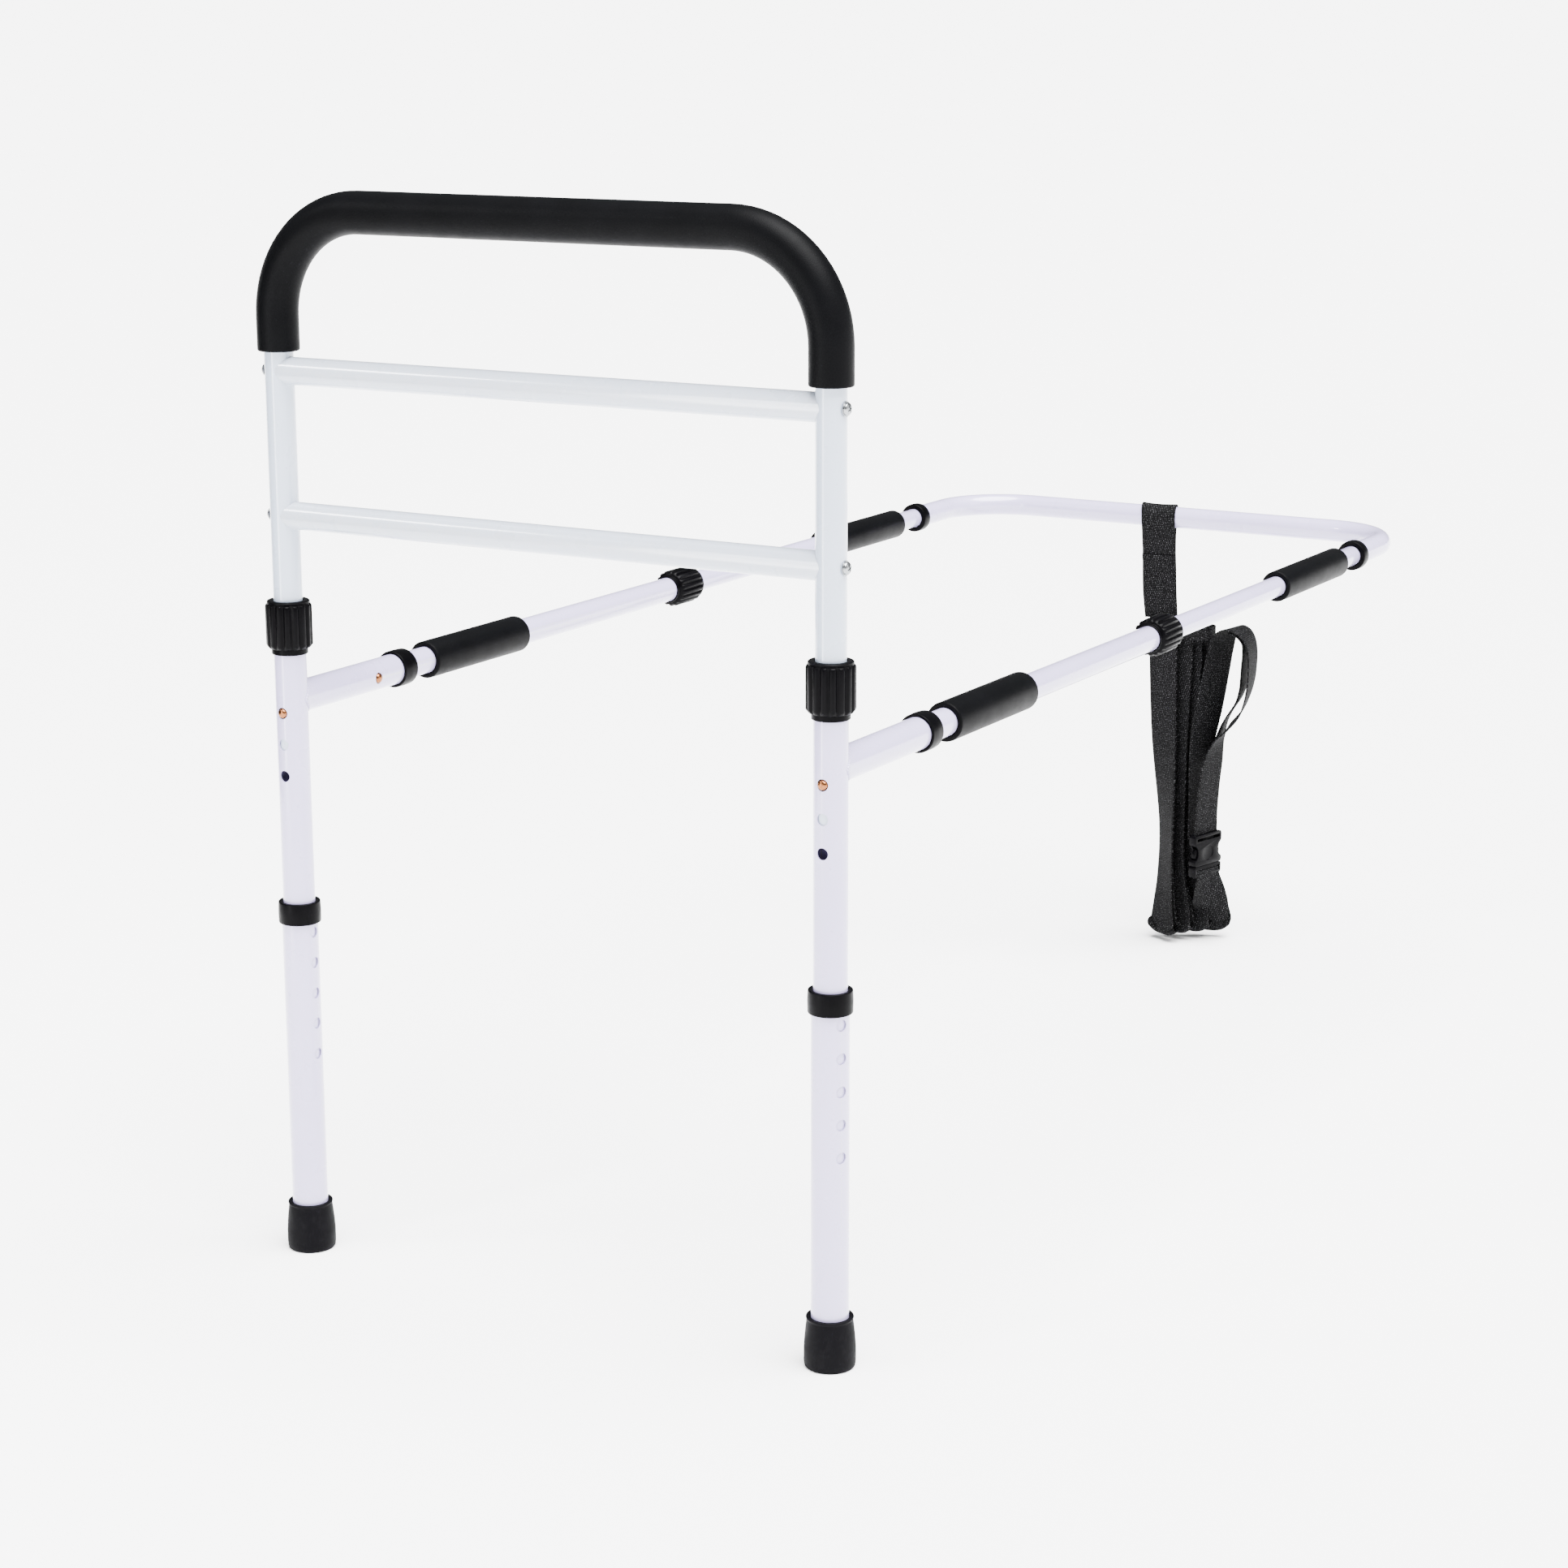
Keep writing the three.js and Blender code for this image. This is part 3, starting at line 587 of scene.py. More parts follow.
# ---------------------------------------------------------------- locks, rings and buttons
def lock_nut(side, kind, outer_tube, inner_tube, matrix):
    """A knurled nut: a smooth collar, deep ribs that fade out at both ends, and a low lip."""
    ribs = NUT_RIBS[kind]
    body = outer_tube / MM + 5.5
    collar = outer_tube / MM + 1.5
    seat = outer_tube / MM + 0.5
    bore = inner_tube / MM + 0.6
    levels = [                         # radius, height and share of the full rib depth, in millimetres
        (seat, 0, 0), (collar - 0.5, 0, 0), (collar, 0.5, 0), (collar, 4.2, 0), (collar + 0.4, 4.6, 0),
        (body - 2.2, 4.9, 0), (body - 1.8, 5.2, 0.1), (body, 7.6, 1), (body, 37.6, 1),
        (body - 0.3, 38.8, 0.9), (body - 1, 39.6, 0.3), (body - 1.6, 39.8, 0), (body - 1.7, 40.3, 0),
        (body - 1.4, 40.7, 0), (body - 1.5, 41.8, 0), (body - 2.3, 42.5, 0), (bore + 0.4, 42.5, 0),
        (bore, 42.1, 0), (bore, 38.5, 0), (seat, 38.5, 0),
    ]
    around = ribs * 16
    rows = []
    for radius, z, depth in levels:
        row = []
        for j in range(around):
            angle = 2 * math.pi * j / around
            groove = (0.5 + 0.5 * math.cos(ribs * angle)) ** 2.2
            r = radius * MM - depth * RIB_DEPTH * groove
            row.append(Vector((r * math.cos(angle), r * math.sin(angle), z * MM)))
        rows.append(row)
    node = f"{side}_{kind}_lock_nut"
    finish(skin(f"{node}_body", rows), PLASTIC, f"{side}_{kind}_nut", node, slot="black_plastic",
           matrix=matrix, sharp=42)


def slip_ring(node, body, tube_r, bore, outer, length, matrix, lip=1.2 * MM):
    """A plastic sleeve on a tube's end, from its skirt at z = 0 to the lip over the tube's end."""
    seat = tube_r + 0.15 * MM
    mouth = bore + 0.4 * MM
    profile = [(seat, 0), (outer - 0.2 * MM, 0), (outer, length * 0.5), (outer - 0.35 * MM, length),
               (mouth, length), (mouth, length - lip), (seat, length - lip)]
    ring = turned(f"{node}_sleeve", rounded(profile, 0.9 * MM))
    finish(ring, PLASTIC, body, node, slot="black_plastic", matrix=matrix)


def snap_button(name, outer_tube, inner_tube, wall, matrix):
    """A drawn cap with a domed top, on the spring inside the inner tube. It points along +X."""
    leaf_face = inner_tube - wall - 1.9 * MM
    top = outer_tube + BUTTON_PROUD
    dome_r = BUTTON_R - 0.3 * MM
    dome = [(dome_r * math.cos(a), top - 2.1 * MM * (1 - math.sin(a)))
            for a in [math.radians(9 * i) for i in range(10)]]
    foot = leaf_face + 0.1 * MM
    profile = [(BUTTON_R - 0.5 * MM, foot), (BUTTON_R, foot + 0.5 * MM), (BUTTON_R, top - 2.5 * MM), *dome]
    cap = turned(f"{name}_button_cap", profile, closed=False, sides=48)
    finish(cap, COPPER, f"{name}_button", f"{name}_button", slot="copper",
           matrix=matrix @ Matrix.Rotation(math.pi / 2, 4, "Y"), sharp=50)
    leaf_spring(name, leaf_face, inner_tube - wall - 0.9 * MM, matrix)


def leaf_spring(name, face, back, matrix):
    """A folded strip that spans the tube from back to face, in one fixed shape. On the rail its sprung half
    bends with the button.
    """
    thick = 0.8 * MM
    fold = -LEAF_LENGTH
    outline = [(face, 5 * MM), (face - thick, 5 * MM), (face - thick, -5 * MM), (0, fold + 3 * MM),
               (thick - back, 0), (-back, 0), (-1.1 * MM, fold), (1.1 * MM, fold), (face, -5 * MM)]
    flat = rounded(outline, 0.8 * MM)
    half = 3.2 * MM
    sides = [[Vector((x, y, z)) for x, z in flat] for y in (-half, half)]
    strip = skin(f"{name}_spring", sides, closed=False)
    finish(strip, SPRING_STEEL, None, f"{name}_leaf_spring", slot="spring_steel", matrix=matrix)
    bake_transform(strip)


# ---------------------------------------------------------------- uprights
def post(side):
    node = f"{side}_post"
    pipe = tube(f"{node}_tube", POST_R, POST_R - POST_WALL, low(node).z, high(node).z)
    pipe.data.transform(upright_at(side))
    tools = [drill(upright_at(side, TOP_POST_HOLE_Z - i * INCH) @ facing(0), HOLE_R, 2 * POST_R)
             for i in range(POST_HOLES)]
    behind = facing(LEG_HOLE_AZIMUTH[side] + 180)
    tools.append(drill(upright_at(side, LOW_LEG_HOLE_Z) @ behind, HOLE_R, 2 * POST_R))
    finish(cut(pipe, tools), FRAME_PAINT, "base_frame", node, slot="frame_paint")


def leg(side):
    node = f"{side}_leg"
    pipe = tube(f"{node}_tube", LEG_R, LEG_R - WALL, low(node).z, high(node).z)
    pipe.data.transform(upright_at(side))
    across = facing(LEG_HOLE_AZIMUTH[side])
    tools = [drill(upright_at(side, TOP_LEG_HOLE_Z - i * INCH) @ across, HOLE_R, 2 * LEG_R, both_ways=True)
             for i in range(LEG_HOLES)]
    finish(cut(pipe, tools), FRAME_PAINT, f"{side}_leg", node, slot="frame_paint")


def rubber_tip(side):
    """A barrelled ferrule with a thin flared lip, and rings moulded in its sole."""
    node = f"{side}_rubber_tip"
    top = high(node).z
    foot = outer_radius(node)
    bore = LEG_R + 0.15 * MM
    sole = [(r * MM, z * MM) for r, z in
            ((0.6, 0), (5, 0), (5.5, 1), (7, 1), (7.5, 0), (11, 0), (11.5, 1), (13, 1), (13.5, 0))]
    wall = [(foot - 1.6 * MM, 0), (foot - 0.4 * MM, 1.4 * MM), (foot, 5 * MM), (foot, 15 * MM),
            (foot - 0.5 * MM, 23 * MM), (foot - 1.3 * MM, 31 * MM), (foot - 2 * MM, top - 3.4 * MM),
            (foot - 2.1 * MM, top - 2.4 * MM), (foot - 1.5 * MM, top - 1 * MM), (foot - 1.8 * MM, top),
            (bore + 0.5 * MM, top), (bore, top - 0.6 * MM), (bore, 6 * MM), (0.6 * MM, 6 * MM)]
    tip = turned(f"{side}_tip", rounded(sole + wall, 1.2 * MM, closed=False), closed=False)
    finish(tip, RUBBER, f"{side}_leg", node, slot="rubber", matrix=upright_at(side), sharp=50)


def upright(side):
    post(side)
    leg(side)
    rubber_tip(side)
    ring = f"{side}_leg_ring"
    slip_ring(ring, f"{side}_leg", LEG_R, POST_R, outer_radius(ring), (high(ring) - low(ring)).z,
              upright_at(side, low(ring).z), lip=high(ring).z - high(f"{side}_leg").z)
    lock_nut(side, "post", POST_R, HOOP_R, upright_at(side, low(f"{side}_post_lock_nut").z))
    snap_button(f"{side}_height", POST_R, HOOP_R, WALL,
                upright_at(side, TOP_POST_HOLE_Z) @ facing(0))
    snap_button(f"{side}_leg", LEG_R, POST_R, POST_WALL,
                upright_at(side, LOW_LEG_HOLE_Z) @ facing(LEG_HOLE_AZIMUTH[side] + 180))


# ---------------------------------------------------------------- base arms
def stub(side):
    """A short tube cut to the post's curve at one end, and its bead of weld."""
    node = f"{side}_stub"
    end = high(node).y - UPRIGHT_Y
    inner = STUB_R - WALL

    def saddle(radius):
        return [Vector((x, up, math.sqrt(max(0, (POST_R + GAP) ** 2 - x * x)))) for x, up in circle(radius)]

    def ring(radius, z):
        return [Vector((x, up, z)) for x, up in circle(radius)]

    rows = [saddle(STUB_R), ring(STUB_R, 2 * STUB_R), ring(STUB_R, end - RIM), ring(STUB_R - RIM, end),
            ring(inner, end), ring(inner, 2 * STUB_R), saddle(inner)]
    pipe = skin(f"{node}_tube", rows)
    inward = Matrix.Rotation(math.pi if SIDES[side] > 0 else 0, 4, "Z")
    hole = drill(Matrix.Translation((0, 0, STUB_BUTTON_Y)) @ inward, HOLE_R, 2 * STUB_R)
    place = along_y(UPRIGHT_X[side])
    finish(cut(pipe, [hole]), FRAME_PAINT, "base_frame", node, slot="frame_paint", matrix=place)
    finish(weld_bead(f"{node}_weld"), FRAME_PAINT, "base_frame", slot="frame_paint", matrix=place)


def weld_bead(name):
    """A rippled fillet round the stub where it meets the post."""
    around = 240
    rows = []
    for i in range(around):
        angle = 2 * math.pi * i / around
        out = Vector((math.cos(angle), math.sin(angle), 0))
        foot = out * (STUB_R - 0.4 * MM)
        foot.z = math.sqrt(max(0, (POST_R - 0.2 * MM) ** 2 - foot.x * foot.x))
        swell = (1.5 + 0.22 * math.cos(48 * angle)) * MM
        rows.append([foot + (out * x + Vector((0, 0, 1)) * y) for x, y in circle(swell, 12)])
    return skin(name, rows)


def base_arm(side):
    x = UPRIGHT_X[side]
    stub(side)

    def from_upright(node, end=low):
        return end(node).y - UPRIGHT_Y

    def length(node):
        return (high(node) - low(node)).y

    near, far = f"{side}_near_arm", f"{side}_far_arm"
    near_pipe = tube(f"{near}_tube", NEAR_ARM_R, NEAR_ARM_R - WALL,
                     from_upright(near), from_upright(near, high))
    inward = Matrix.Rotation(math.pi if SIDES[side] > 0 else 0, 4, "Z")
    hole = drill(Matrix.Translation((0, 0, STUB_BUTTON_Y)) @ inward, HOLE_R, 2 * NEAR_ARM_R)
    finish(cut(near_pipe, [hole]), FRAME_PAINT, "base_frame", near, slot="frame_paint", matrix=along_y(x))
    far_pipe = tube(f"{far}_tube", FAR_ARM_R, FAR_ARM_R - WALL,
                    from_upright(far), from_upright(far, high))
    finish(far_pipe, FRAME_PAINT, "base_extension", far, slot="frame_paint", matrix=along_y(x))

    for node, tube_r, body in ((f"{side}_near_foam", NEAR_ARM_R, "base_frame"),
                               (f"{side}_far_foam", FAR_ARM_R, "base_extension")):
        outer = outer_radius(node)
        inner = tube_r + SNUG
        section = [(inner, 0), (outer, 0), (outer, length(node)), (inner, length(node))]
        sleeve = turned(f"{node}_sleeve", rounded(section, FOAM_EDGE))
        finish(sleeve, FOAM, body, node, slot="foam", matrix=along_y(x, low(node).y))

    ring = f"{side}_stub_ring"
    slip_ring(ring, "base_frame", STUB_R, NEAR_ARM_R, outer_radius(ring), length(ring),
              along_y(x, low(ring).y))
    ring = f"{side}_bar_ring"
    turn_round = Matrix.Rotation(math.pi, 4, "X")
    slip_ring(ring, "base_extension", NEAR_ARM_R, FAR_ARM_R, outer_radius(ring), length(ring),
              along_y(x, high(ring).y) @ turn_round)
    lock_nut(side, "arm", NEAR_ARM_R, FAR_ARM_R, along_y(x, low(f"{side}_arm_lock_nut").y))
    snap_button(f"{side}_arm", STUB_R, NEAR_ARM_R, WALL,
                along_y(x) @ Matrix.Translation((0, 0, STUB_BUTTON_Y)) @ inward)


def far_bar():
    start = low("far_bar").y
    corners = [(-HALF, start, ARM_Z), (-HALF, BAR_Y, ARM_Z), (HALF, BAR_Y, ARM_Z), (HALF, start, ARM_Z)]
    path = bent_path(corners, BAR_BEND_R)
    bar = bent_tube("far_bar_tube", path, (0, 0, 1), NEAR_ARM_R, NEAR_ARM_R - WALL, RIM)
    finish(bar, FRAME_PAINT, "base_extension", "far_bar", slot="frame_paint")


# ---------------------------------------------------------------- strap
# Strap places are in millimetres from the middle of the far bar's axis. Every knot of a webbing path is
# (x, y, z, turn, lift): the turn is the way the width runs, in degrees from +X towards +Y, and the lift is
# how far the webbing's two edges are pulled up.
FOLDS = 4
FOLD_BOTTOM = -452
FOLD_BEND_R = 5.2
# Each level: z, x and turn of the first fold, the same of the last, how they crowd towards the last, the
# depth of the stack and the gap in each fold.
FOLD_LEVELS = [
    (-106, (-12, -16), (21, -10), 0.6, 5.5, 1),
    (-160, (-11.5, -19), (20, -10), 0.65, 5.5, 1),
    (-240, (-8, -25), (16, -10), 0.75, 6, 1),
    (-330, (-2, -44), (16, -8), 0.9, 8, 1),
    (-385, (0, -44), (20, 0), 1, 12, 2),
    (-420, (1.5, -36), (37, 12), 1.1, 17, 4),
    (-443, (2.5, -28), (42, 16), 1.2, 19, FOLD_BEND_R),
]
EDGE_LIFT = 9
LIFT_START = -400


def smooth_path(knots, step):
    """Points every few millimetres on a smooth curve through knots."""
    dense = []
    ends = [knots[0], *knots, knots[-1]]
    for a, b, c, d in zip(ends, ends[1:], ends[2:], ends[3:]):
        count = max(2, round(math.dist(b[:3], c[:3]) / step))
        for i in range(count):
            t = i / count
            dense.append([0.5 * (2 * q + (r - p) * t + (2 * p - 5 * q + 4 * r - s) * t * t
                          + (3 * q - p - 3 * r + s) * t ** 3) for p, q, r, s in zip(a, b, c, d)])
    dense.append(list(knots[-1]))
    return dense


def ribbon(name, knots, width=WEB_WIDTH, step=3):
    """Webbing along a path of knots, with UVs across and along it in metres."""
    path = smooth_path(knots, step)
    points = [Vector(p[:3]) * MM for p in path]
    across = [-1, -0.96, -0.8, -0.6, -0.4, -0.2, 0, 0.2, 0.4, 0.6, 0.8, 0.96, 1]
    rows, travelled = [], [0]
    for i, point in enumerate(points):
        heading = (points[min(i + 1, len(points) - 1)] - points[max(i - 1, 0)]).normalized()
        turn = math.radians(path[i][3])
        wide = Vector((math.cos(turn), math.sin(turn), 0))
        wide = (wide - heading * wide.dot(heading)).normalized()
        face = wide.cross(heading)
        top, under = [], []
        for u in across:
            edge = WEB_THICK / 2 * (0.4 if abs(u) == 1 else 1)
            place = point + wide * (u * width / 2) + Vector((0, 0, path[i][4] * MM * abs(u) ** 2.5))
            top.append(place + face * edge)
            under.append(place - face * edge)
        rows.append(top + under[::-1])
        if i:
            travelled.append(travelled[-1] + (point - points[i - 1]).length)
    webbing = skin(name, rows, closed=False)
    spread = [(u + 1) / 2 * width for u in across + across[::-1]]
    lay_weave(webbing, spread, travelled)
    webbing["length"] = travelled[-1]
    return webbing


def lay_weave(piece, spread, travelled):
    """UVs for a piece made of rows: one distance across for each column and one along for each row."""
    layer = piece.data.uv_layers.new(name="weave")
    for loop in piece.data.loops:
        row, column = divmod(loop.vertex_index, len(spread))
        layer.data[loop.index].uv = (spread[column], travelled[row])


def bar_loop():
    """Up in front of the far bar, over it and down behind, slightly askew."""
    radius = NEAR_ARM_R / MM + 1.1
    x, skew = -22.5, 3.5
    front = [(x + 6, -2, -108, -4, 0), (x + 4, -2.4, -80, -2, 0), (x + 3, -4, -50, 0, 0),
             (x + skew, -9, -22, 0, 0)]
    over = [(x - skew * math.cos(a), radius * math.cos(a), radius * math.sin(a), 0, 0)
            for a in [math.radians(195 - 21 * i) for i in range(11)]]
    behind = [(x - skew, 9, -22, 0, 0), (x - 1, 4, -50, 0, 0), (x + 1, 1.4, -80, -2, 0),
              (x + 4, 1, -108, -4, 0)]
    return ribbon("bar_loop", front + over + behind)


def sewn_end():
    """The webbing's own end, turned over and stitched down below the bar."""
    x = -19.6
    knots = [(x, -6.6, -40, 0, 0), (x + 0.1, -6.3, -43, 0, 0), (x + 0.6, -5.2, -52, 0, 0),
             (x + 0.9, -4.2, -57, 0, 0)]
    return ribbon("sewn_end", knots)


def fold_place(level, share, front):
    """The knot of one fold's front or back ply at one level. Share runs from 0 for the first fold to 1."""
    z, (first_x, first_turn), (last_x, last_turn), crowding, depth, gap = level
    along = share ** crowding
    side = -1 if front else 1
    lift = EDGE_LIFT * max(0, (LIFT_START - z) / (LIFT_START - FOLD_BOTTOM)) ** 1.6
    return (first_x + (last_x - first_x) * along, (2 * share - 1) * depth + side * gap, z,
            first_turn + (last_turn - first_turn) * share, lift)


def hanging_fold(index):
    """One long fold: down at the front, round the bottom, up behind. The front of the last is plug_run."""
    share = index / (FOLDS - 1)
    front = [fold_place(level, share, True) for level in FOLD_LEVELS]
    back = [fold_place(level, share, False) for level in FOLD_LEVELS]
    if index == FOLDS - 1:
        front = front[-1:]
    x, y, _, turn, _ = [(a + b) / 2 for a, b in zip(front[-1], back[-1])]
    bend = []
    for degrees in range(-75, 76, 15):
        angle = math.radians(degrees)
        drop = FOLD_BOTTOM + WEB_THICK / MM + FOLD_BEND_R * (1 - math.cos(angle))
        bend.append((x, y + FOLD_BEND_R * math.sin(angle), drop, turn, EDGE_LIFT))
    return ribbon(f"fold_{index}", front + bend + back[::-1], step=2.5)


def outer_run():
    """From the buckle up the bundle's side, out into the free bight, over its top and down the folds."""
    up = [(46, -14, -336, 75, 0), (46.5, -15, -310, 75, 0), (49, -15, -280, 77, 0), (52, -14, -255, 80, 0),
          (57, -11, -232, 94, 0)]
    bight = [(66, -8, -218, 106, 0), (77, -4, -203, 106, 0), (83, -1, -186, 103, 0), (86.5, 0, -168, 100, 0),
             (87.5, 0, -150, 98, 0), (87, 0, -136, 97, 0), (84, -0.4, -124, 95, 0), (78, -0.8, -116, 91, 0),
             (70, -0.6, -112.5, 86, 0), (62, 0.8, -113, 80, 0), (55.5, 3, -118, 74, 0)]
    down = [(52, 4.4, -127, 69, 0), (48.5, 3, -145, 66, 0), (45.5, 0, -170, 65, 0), (42, -4, -197, 63, 0),
            (38.5, -8, -224, 66, 0), (36, -10, -252, 74, 0), (35, -10, -280, 79, 0), (35, -11, -310, 82, 0),
            (35, -12, -340, 84, 0)]
    return ribbon("outer_run", up + bight + down, step=2)


def inner_run():
    """The second ply inside the free bight. It leaves the first under the bight's top."""
    knots = [(68, -0.3, -115, 85, 0), (73, -0.7, -116, 88, 0), (77, -0.7, -118.6, 91, 0),
             (81, -0.2, -125, 95, 0), (81, 1, -136, 97, 0), (79, 3, -150, 98, 0),
             (77.5, 4, -164, 99, 0), (76, 4, -177, 100, 0), (71.5, 4, -190, 102, 0),
             (61.5, 4, -206, 102, 0), (55, 4, -220, 100, 0), (50, 4, -240, 95, 0), (47, 4, -262, 90, 0)]
    return ribbon("inner_run", knots, step=2)


def plug_run():
    """From under the plug's bar, over it and down to the bottom of the last fold."""
    x, y, z = BUCKLE_PLACE
    face = facing(90 + BUCKLE_TURN) @ Vector((1, 0, 0))
    bar = [(-3.8, -13), (-3.4, -7.6), (-2.2, -4.4), (0, -3.4), (2.2, -4.4), (3.4, -7.6), (3.8, -13)]
    over = [(x + face.x * out, y + face.y * out, z + up, 90 + BUCKLE_TURN, 0) for out, up in bar]
    down = [(49, -12, -392, 66, 0), (48.5, -5, -407, 46, 0), (46, 6, -424, 26, 3)]
    return ribbon("plug_run", over + down + [fold_place(FOLD_LEVELS[-1], 1, True)], step=2)


def strap():
    """The folded webbing and the keeper round it."""
    origin = Matrix.Translation((0, BAR_Y, ARM_Z))
    runs = [bar_loop(), sewn_end(), outer_run(), inner_run()] + [hanging_fold(i) for i in range(FOLDS)]
    webbing = join("strap_folds", runs)
    finish(webbing, WEBBING, "strap", "strap_webbing", slot="webbing", matrix=origin, sharp=60)

    size = high("strap_keeper") - low("strap_keeper")
    centre = (middle("strap_keeper") - origin.translation) / MM
    around = keeper_outline(centre.x + 2, centre.y, size.x / MM / 2 - 2, size.y / MM / 2 - 1)
    keeper, length = keeper_band(around, centre.z - 8, size.z)
    finish(keeper, WEBBING, "strap", "strap_keeper", slot="webbing", matrix=origin, sharp=60)


def keeper_outline(x, y, half_x, half_y, corner=8):
    """A rounded rectangle of [x, y] points round the folds."""
    points = []
    for quarter, (side_x, side_y) in enumerate(((1, 1), (-1, 1), (-1, -1), (1, -1))):
        for step in range(6):
            angle = math.radians(90 * quarter + 18 * step)
            points.append((x + side_x * (half_x - corner) + corner * math.cos(angle),
                           y + side_y * (half_y - corner) + corner * math.sin(angle)))
    return points


def keeper_band(outline, z, width):
    """A short band of webbing sewn into a ring, and how long it is."""
    rows, travelled = [], [0]
    columns = ((1, -1), (1, 0), (1, 1), (-1, 1), (-1, 0), (-1, -1))
    for i, (x, y) in enumerate(outline):
        following = outline[(i + 1) % len(outline)]
        ahead = Vector(following) - Vector(outline[i - 1])
        out = Vector((ahead.y, -ahead.x, 0)).normalized()
        place = Vector((x, y, z)) * MM
        rows.append([place + out * (WEB_THICK / 2 * side) + Vector((0, 0, width / 2 * up))
                     for side, up in columns])
        travelled.append(travelled[-1] + math.dist((x, y), following) * MM)
    band = skin("keeper", rows)
    lay_weave(band, [(up + 1) / 2 * width for side, up in columns], travelled)
    return band, travelled[-1]


# ---------------------------------------------------------------- buckle
BUCKLE_PLACE = (46, -14, -368)
BUCKLE_TURN = -15
BUCKLE_WIDTH = 44
BUCKLE_THICK = 9
SOCKET_HEIGHT = 34
PLUG_HEIGHT = 12


def plate(name, outline, thick, corner=1.5):
    """A flat moulding in the YZ plane from an anticlockwise outline in millimetres."""
    flat = rounded([(y * MM, z * MM) for y, z in outline], corner * MM)
    faces = [[Vector((x * thick * MM / 2, y, z)) for y, z in flat] for x in (-1, 1)]
    return skin(name, faces, closed=False)


def mirrored(side_points):
    """An outline from the points of its right side, bottom to top."""
    return side_points + [(-y, z) for y, z in reversed(side_points)]


def socket():
    """The socket: waisted sides that leave the prongs bare, a thumb dish and a slot for the webbing."""
    half, top = BUCKLE_WIDTH / 2, SOCKET_HEIGHT
    side = [(half - 1, 0.3), (half, 2), (half, 6), (half - 4, 9), (half - 5, 12), (half - 5, 17),
            (half - 4, 20), (half, 24), (half, top - 2), (half - 1.5, top)]
    shell = plate("socket_shell", mirrored(side), BUCKLE_THICK)
    cut(shell, [box_tool((5.6 * MM, 40.4 * MM, 24 * MM), (0, 0, 11.4 * MM))])
    cut(shell, [box_tool((12 * MM, 38.6 * MM, 3.4 * MM), (0, 0, (top - 5) * MM))])
    for face in (-1, 1):
        dish = turned("dish", [(8 * MM, 0), (10 * MM, 4 * MM)], closed=False)
        up = Matrix.Translation((face * (BUCKLE_THICK / 2 - 0.7) * MM, 0, 13 * MM))
        dish.data.transform(up @ Matrix.Rotation(face * math.pi / 2, 4, "Y"))
        cut(shell, [dish])
    return soften(shell, 0.6 * MM)


def plug():
    """The plug: a frame with a bar for the webbing, and two barbed prongs."""
    half, base = BUCKLE_WIDTH / 2, PLUG_HEIGHT
    side = [(half - 1.5, -base), (half, -base + 2), (half, -2), (half - 1, -0.3)]
    body = plate("plug_frame", mirrored(side), BUCKLE_THICK)
    cut(body, [box_tool((12 * MM, 39 * MM, 5.6 * MM), (0, 0, -6.4 * MM))])
    parts = [soften(body, 0.6 * MM)]
    prong = [(13.3, -1), (17.3, -1), (17.6, 7), (20.6, 9.5), (20.4, 14), (17.6, 19.5), (14, 19.5)]
    parts.append(soften(plate("prong", prong, 5), 0.5 * MM))
    parts.append(soften(plate("prong", [(-y, z) for y, z in reversed(prong)], 5), 0.5 * MM))
    bar = plate("web_bar", [(-20, -7.9), (20, -7.9), (20, -4.9), (-20, -4.9)], 3.4, 0.4)
    parts.append(soften(bar, 0.4 * MM))
    return join("plug_body", parts)


def buckle():
    """The socket, the plug that slides out of it, and the plug's webbing, in one fixed shape and with no
    body; on the rail it gives as the plug slides.
    """
    origin = Matrix.Translation((0, BAR_Y, ARM_Z))
    place = origin @ Matrix.Translation(Vector(BUCKLE_PLACE) * MM) @ facing(90 + BUCKLE_TURN)
    finish(socket(), PLASTIC, "strap", "buckle_socket", slot="black_plastic", matrix=place, sharp=38)
    moving = finish(plug(), PLASTIC, "buckle_plug", "buckle_plug", slot="black_plastic", matrix=place,
                    sharp=38)
    tail = plug_run()
    finish(tail, WEBBING, None, slot="webbing", matrix=origin, sharp=60)
    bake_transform(tail)


# ---------------------------------------------------------------- pieces kept from the CAD
def keep_inner_nodes():
    """The pieces inside the tubes keep their CAD shape and get a finish."""
    for node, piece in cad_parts.items():
        material = None
        if node.endswith("rung_plug"):
            material = ZINC
        elif node.endswith("collet"):
            material = PLASTIC
        if material is not None:
            for slot in piece.material_slots:
                slot.material = material


# ---------------------------------------------------------------- studio
FILL_LIGHT = 0.35
BACKDROP_LIGHT = 7.3               # as bright as the lit floor, so that no horizon shows


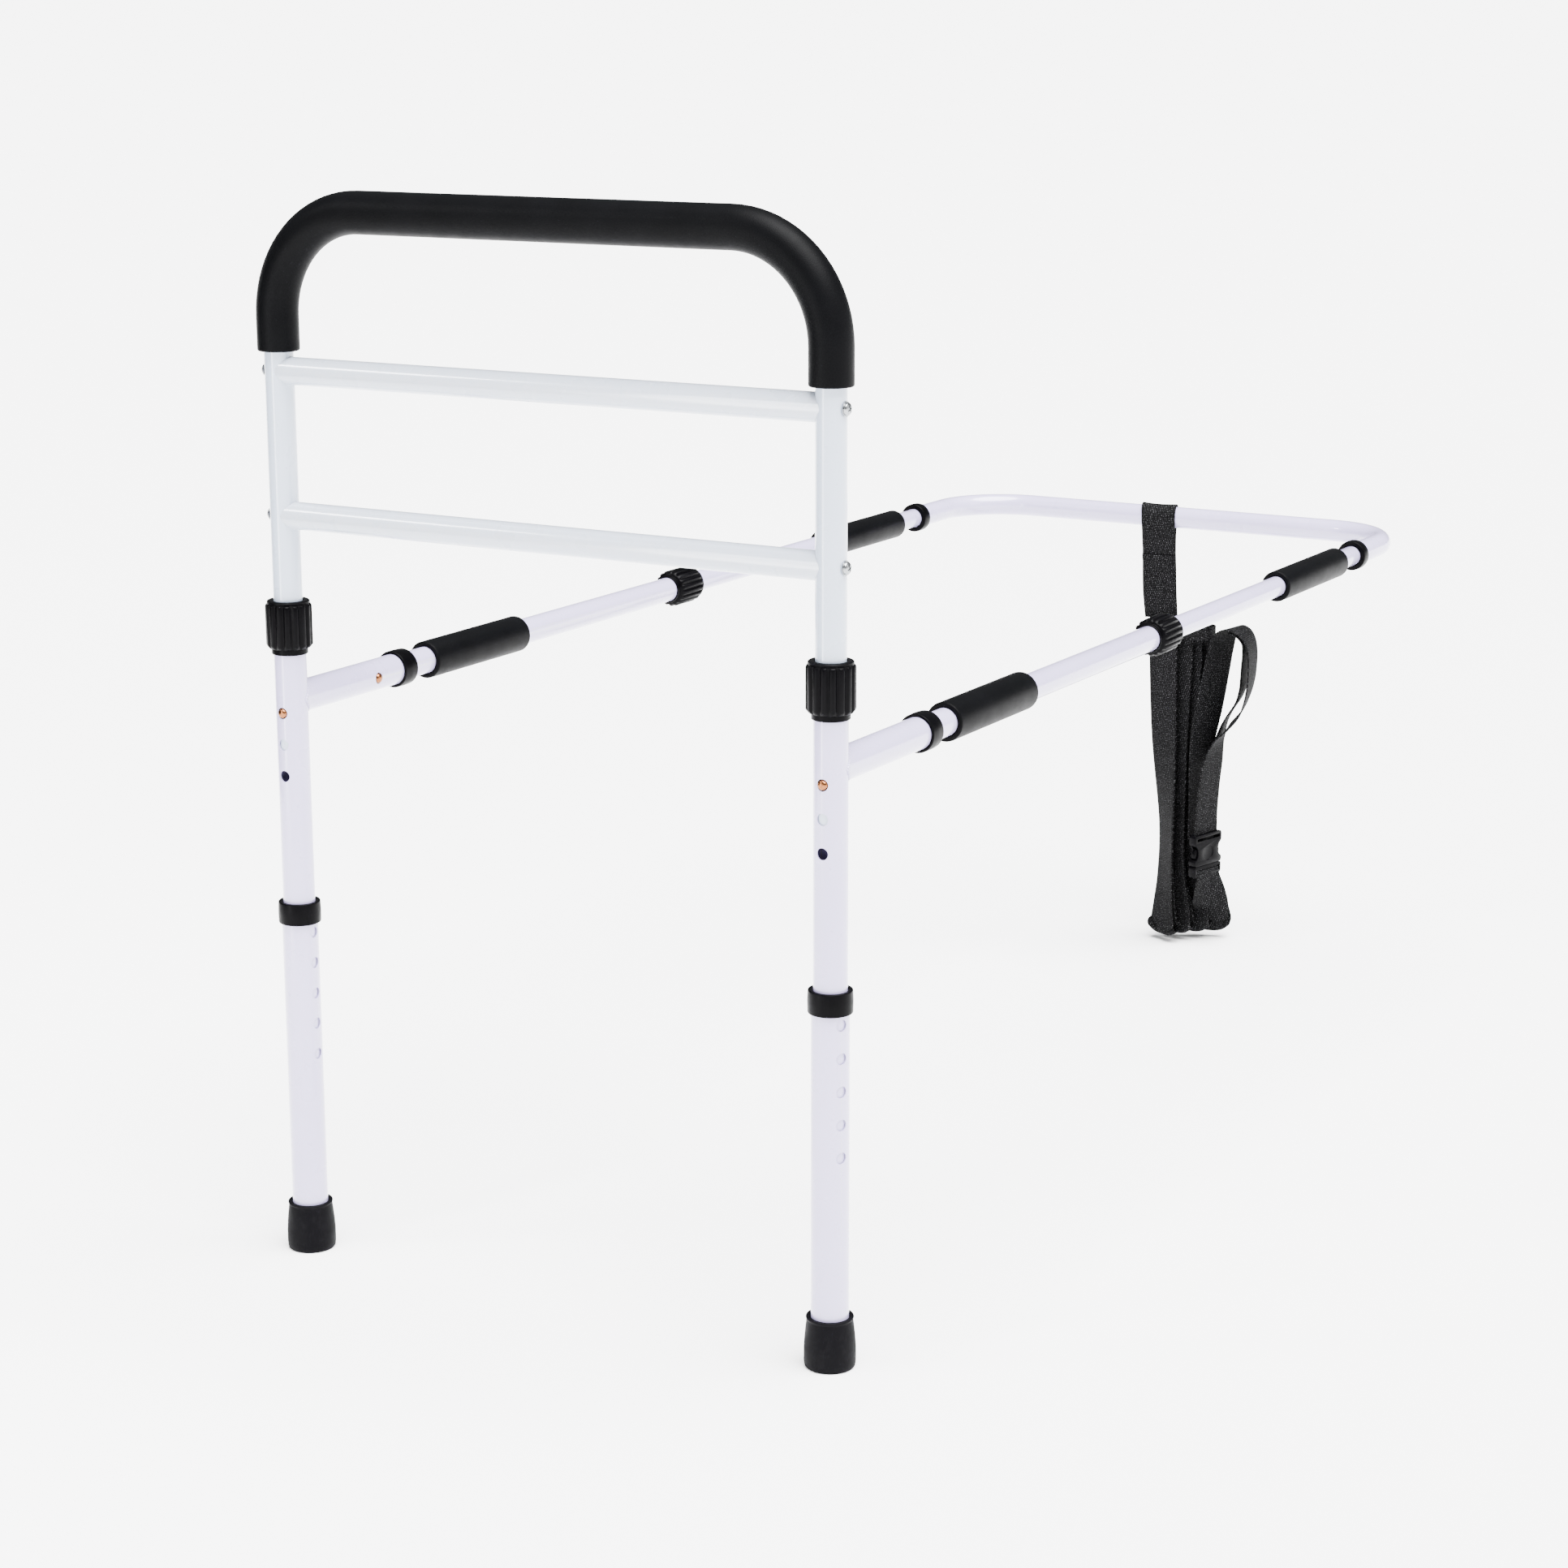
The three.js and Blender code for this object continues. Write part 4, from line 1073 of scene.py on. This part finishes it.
def studio():
    size = 900
    floor = mesh_piece("floor", [(-size, -size, 0), (size, -size, 0), (size, size, 0), (-size, size, 0)],
                       [(0, 1, 2, 3)])
    floor.data.materials.append(studio_cloth("floor_paper", 0.95))

    world = bpy.data.worlds.new("studio")
    world.use_nodes = True
    nodes, links = world.node_tree.nodes, world.node_tree.links
    nodes["Background"].inputs["Color"].default_value = rgb(0.97, 0.98, 1)
    seen = nodes.new("ShaderNodeLightPath")
    strength = nodes.new("ShaderNodeMapRange")
    strength.inputs["To Min"].default_value = FILL_LIGHT
    strength.inputs["To Max"].default_value = BACKDROP_LIGHT
    links.new(seen.outputs["Is Camera Ray"], strength.inputs["Value"])
    links.new(strength.outputs["Result"], nodes["Background"].inputs["Strength"])
    bpy.context.scene.world = world

    sun = bpy.data.lights.new("overhead", "SUN")
    sun.energy = 24
    sun.angle = math.radians(55)
    overhead = bpy.data.objects.new("overhead", sun)
    overhead.rotation_euler = (math.radians(6), math.radians(16), 0)
    bpy.context.scene.collection.objects.link(overhead)

    black_card((-0.85, -1.9), (-1.65, -0.3), 0.1, 1.25)
    softbox("strip", (-0.75, -2.15, 0.75), 25, 0.25, 1.5)
    softbox("high", (-2.15, -2.35, 2.5), 55, 0.6, 0.45)
    softbox("right", (2.6, 0.4, 1.5), 18, 1.2, 1.2)


def black_card(start, end, bottom, top):
    """An upright card that puts dark edges into the reflections. The camera doesn't see it."""
    corners = [(*start, bottom), (*end, bottom), (*end, top), (*start, top)]
    flag = mesh_piece("flag", corners, [(0, 1, 2, 3)])
    flag.data.materials.append(studio_cloth("flag_cloth", 0.02))
    flag.visible_camera = False
    flag.visible_shadow = False


def softbox(name, place, power, width, height):
    """A rectangular lamp that faces the rail."""
    area = bpy.data.lights.new(name, "AREA")
    area.shape = "RECTANGLE"
    area.energy = power
    area.size = width
    area.size_y = height
    lamp = bpy.data.objects.new(name, area)
    lamp.location = place
    lamp.rotation_euler = (Vector((0, 0, 0.6)) - Vector(place)).to_track_quat("-Z", "Y").to_euler()
    bpy.context.scene.collection.objects.link(lamp)


# ---------------------------------------------------------------- the whole rail
camera()
hoop()
grip()
for rung_level in ("upper", "lower"):
    rung(rung_level)
    for rung_side in SIDES:
        rung_screw(rung_level, rung_side)
for each_side in SIDES:
    upright(each_side)
    base_arm(each_side)
far_bar()
strap()
buckle()
keep_inner_nodes()
studio()
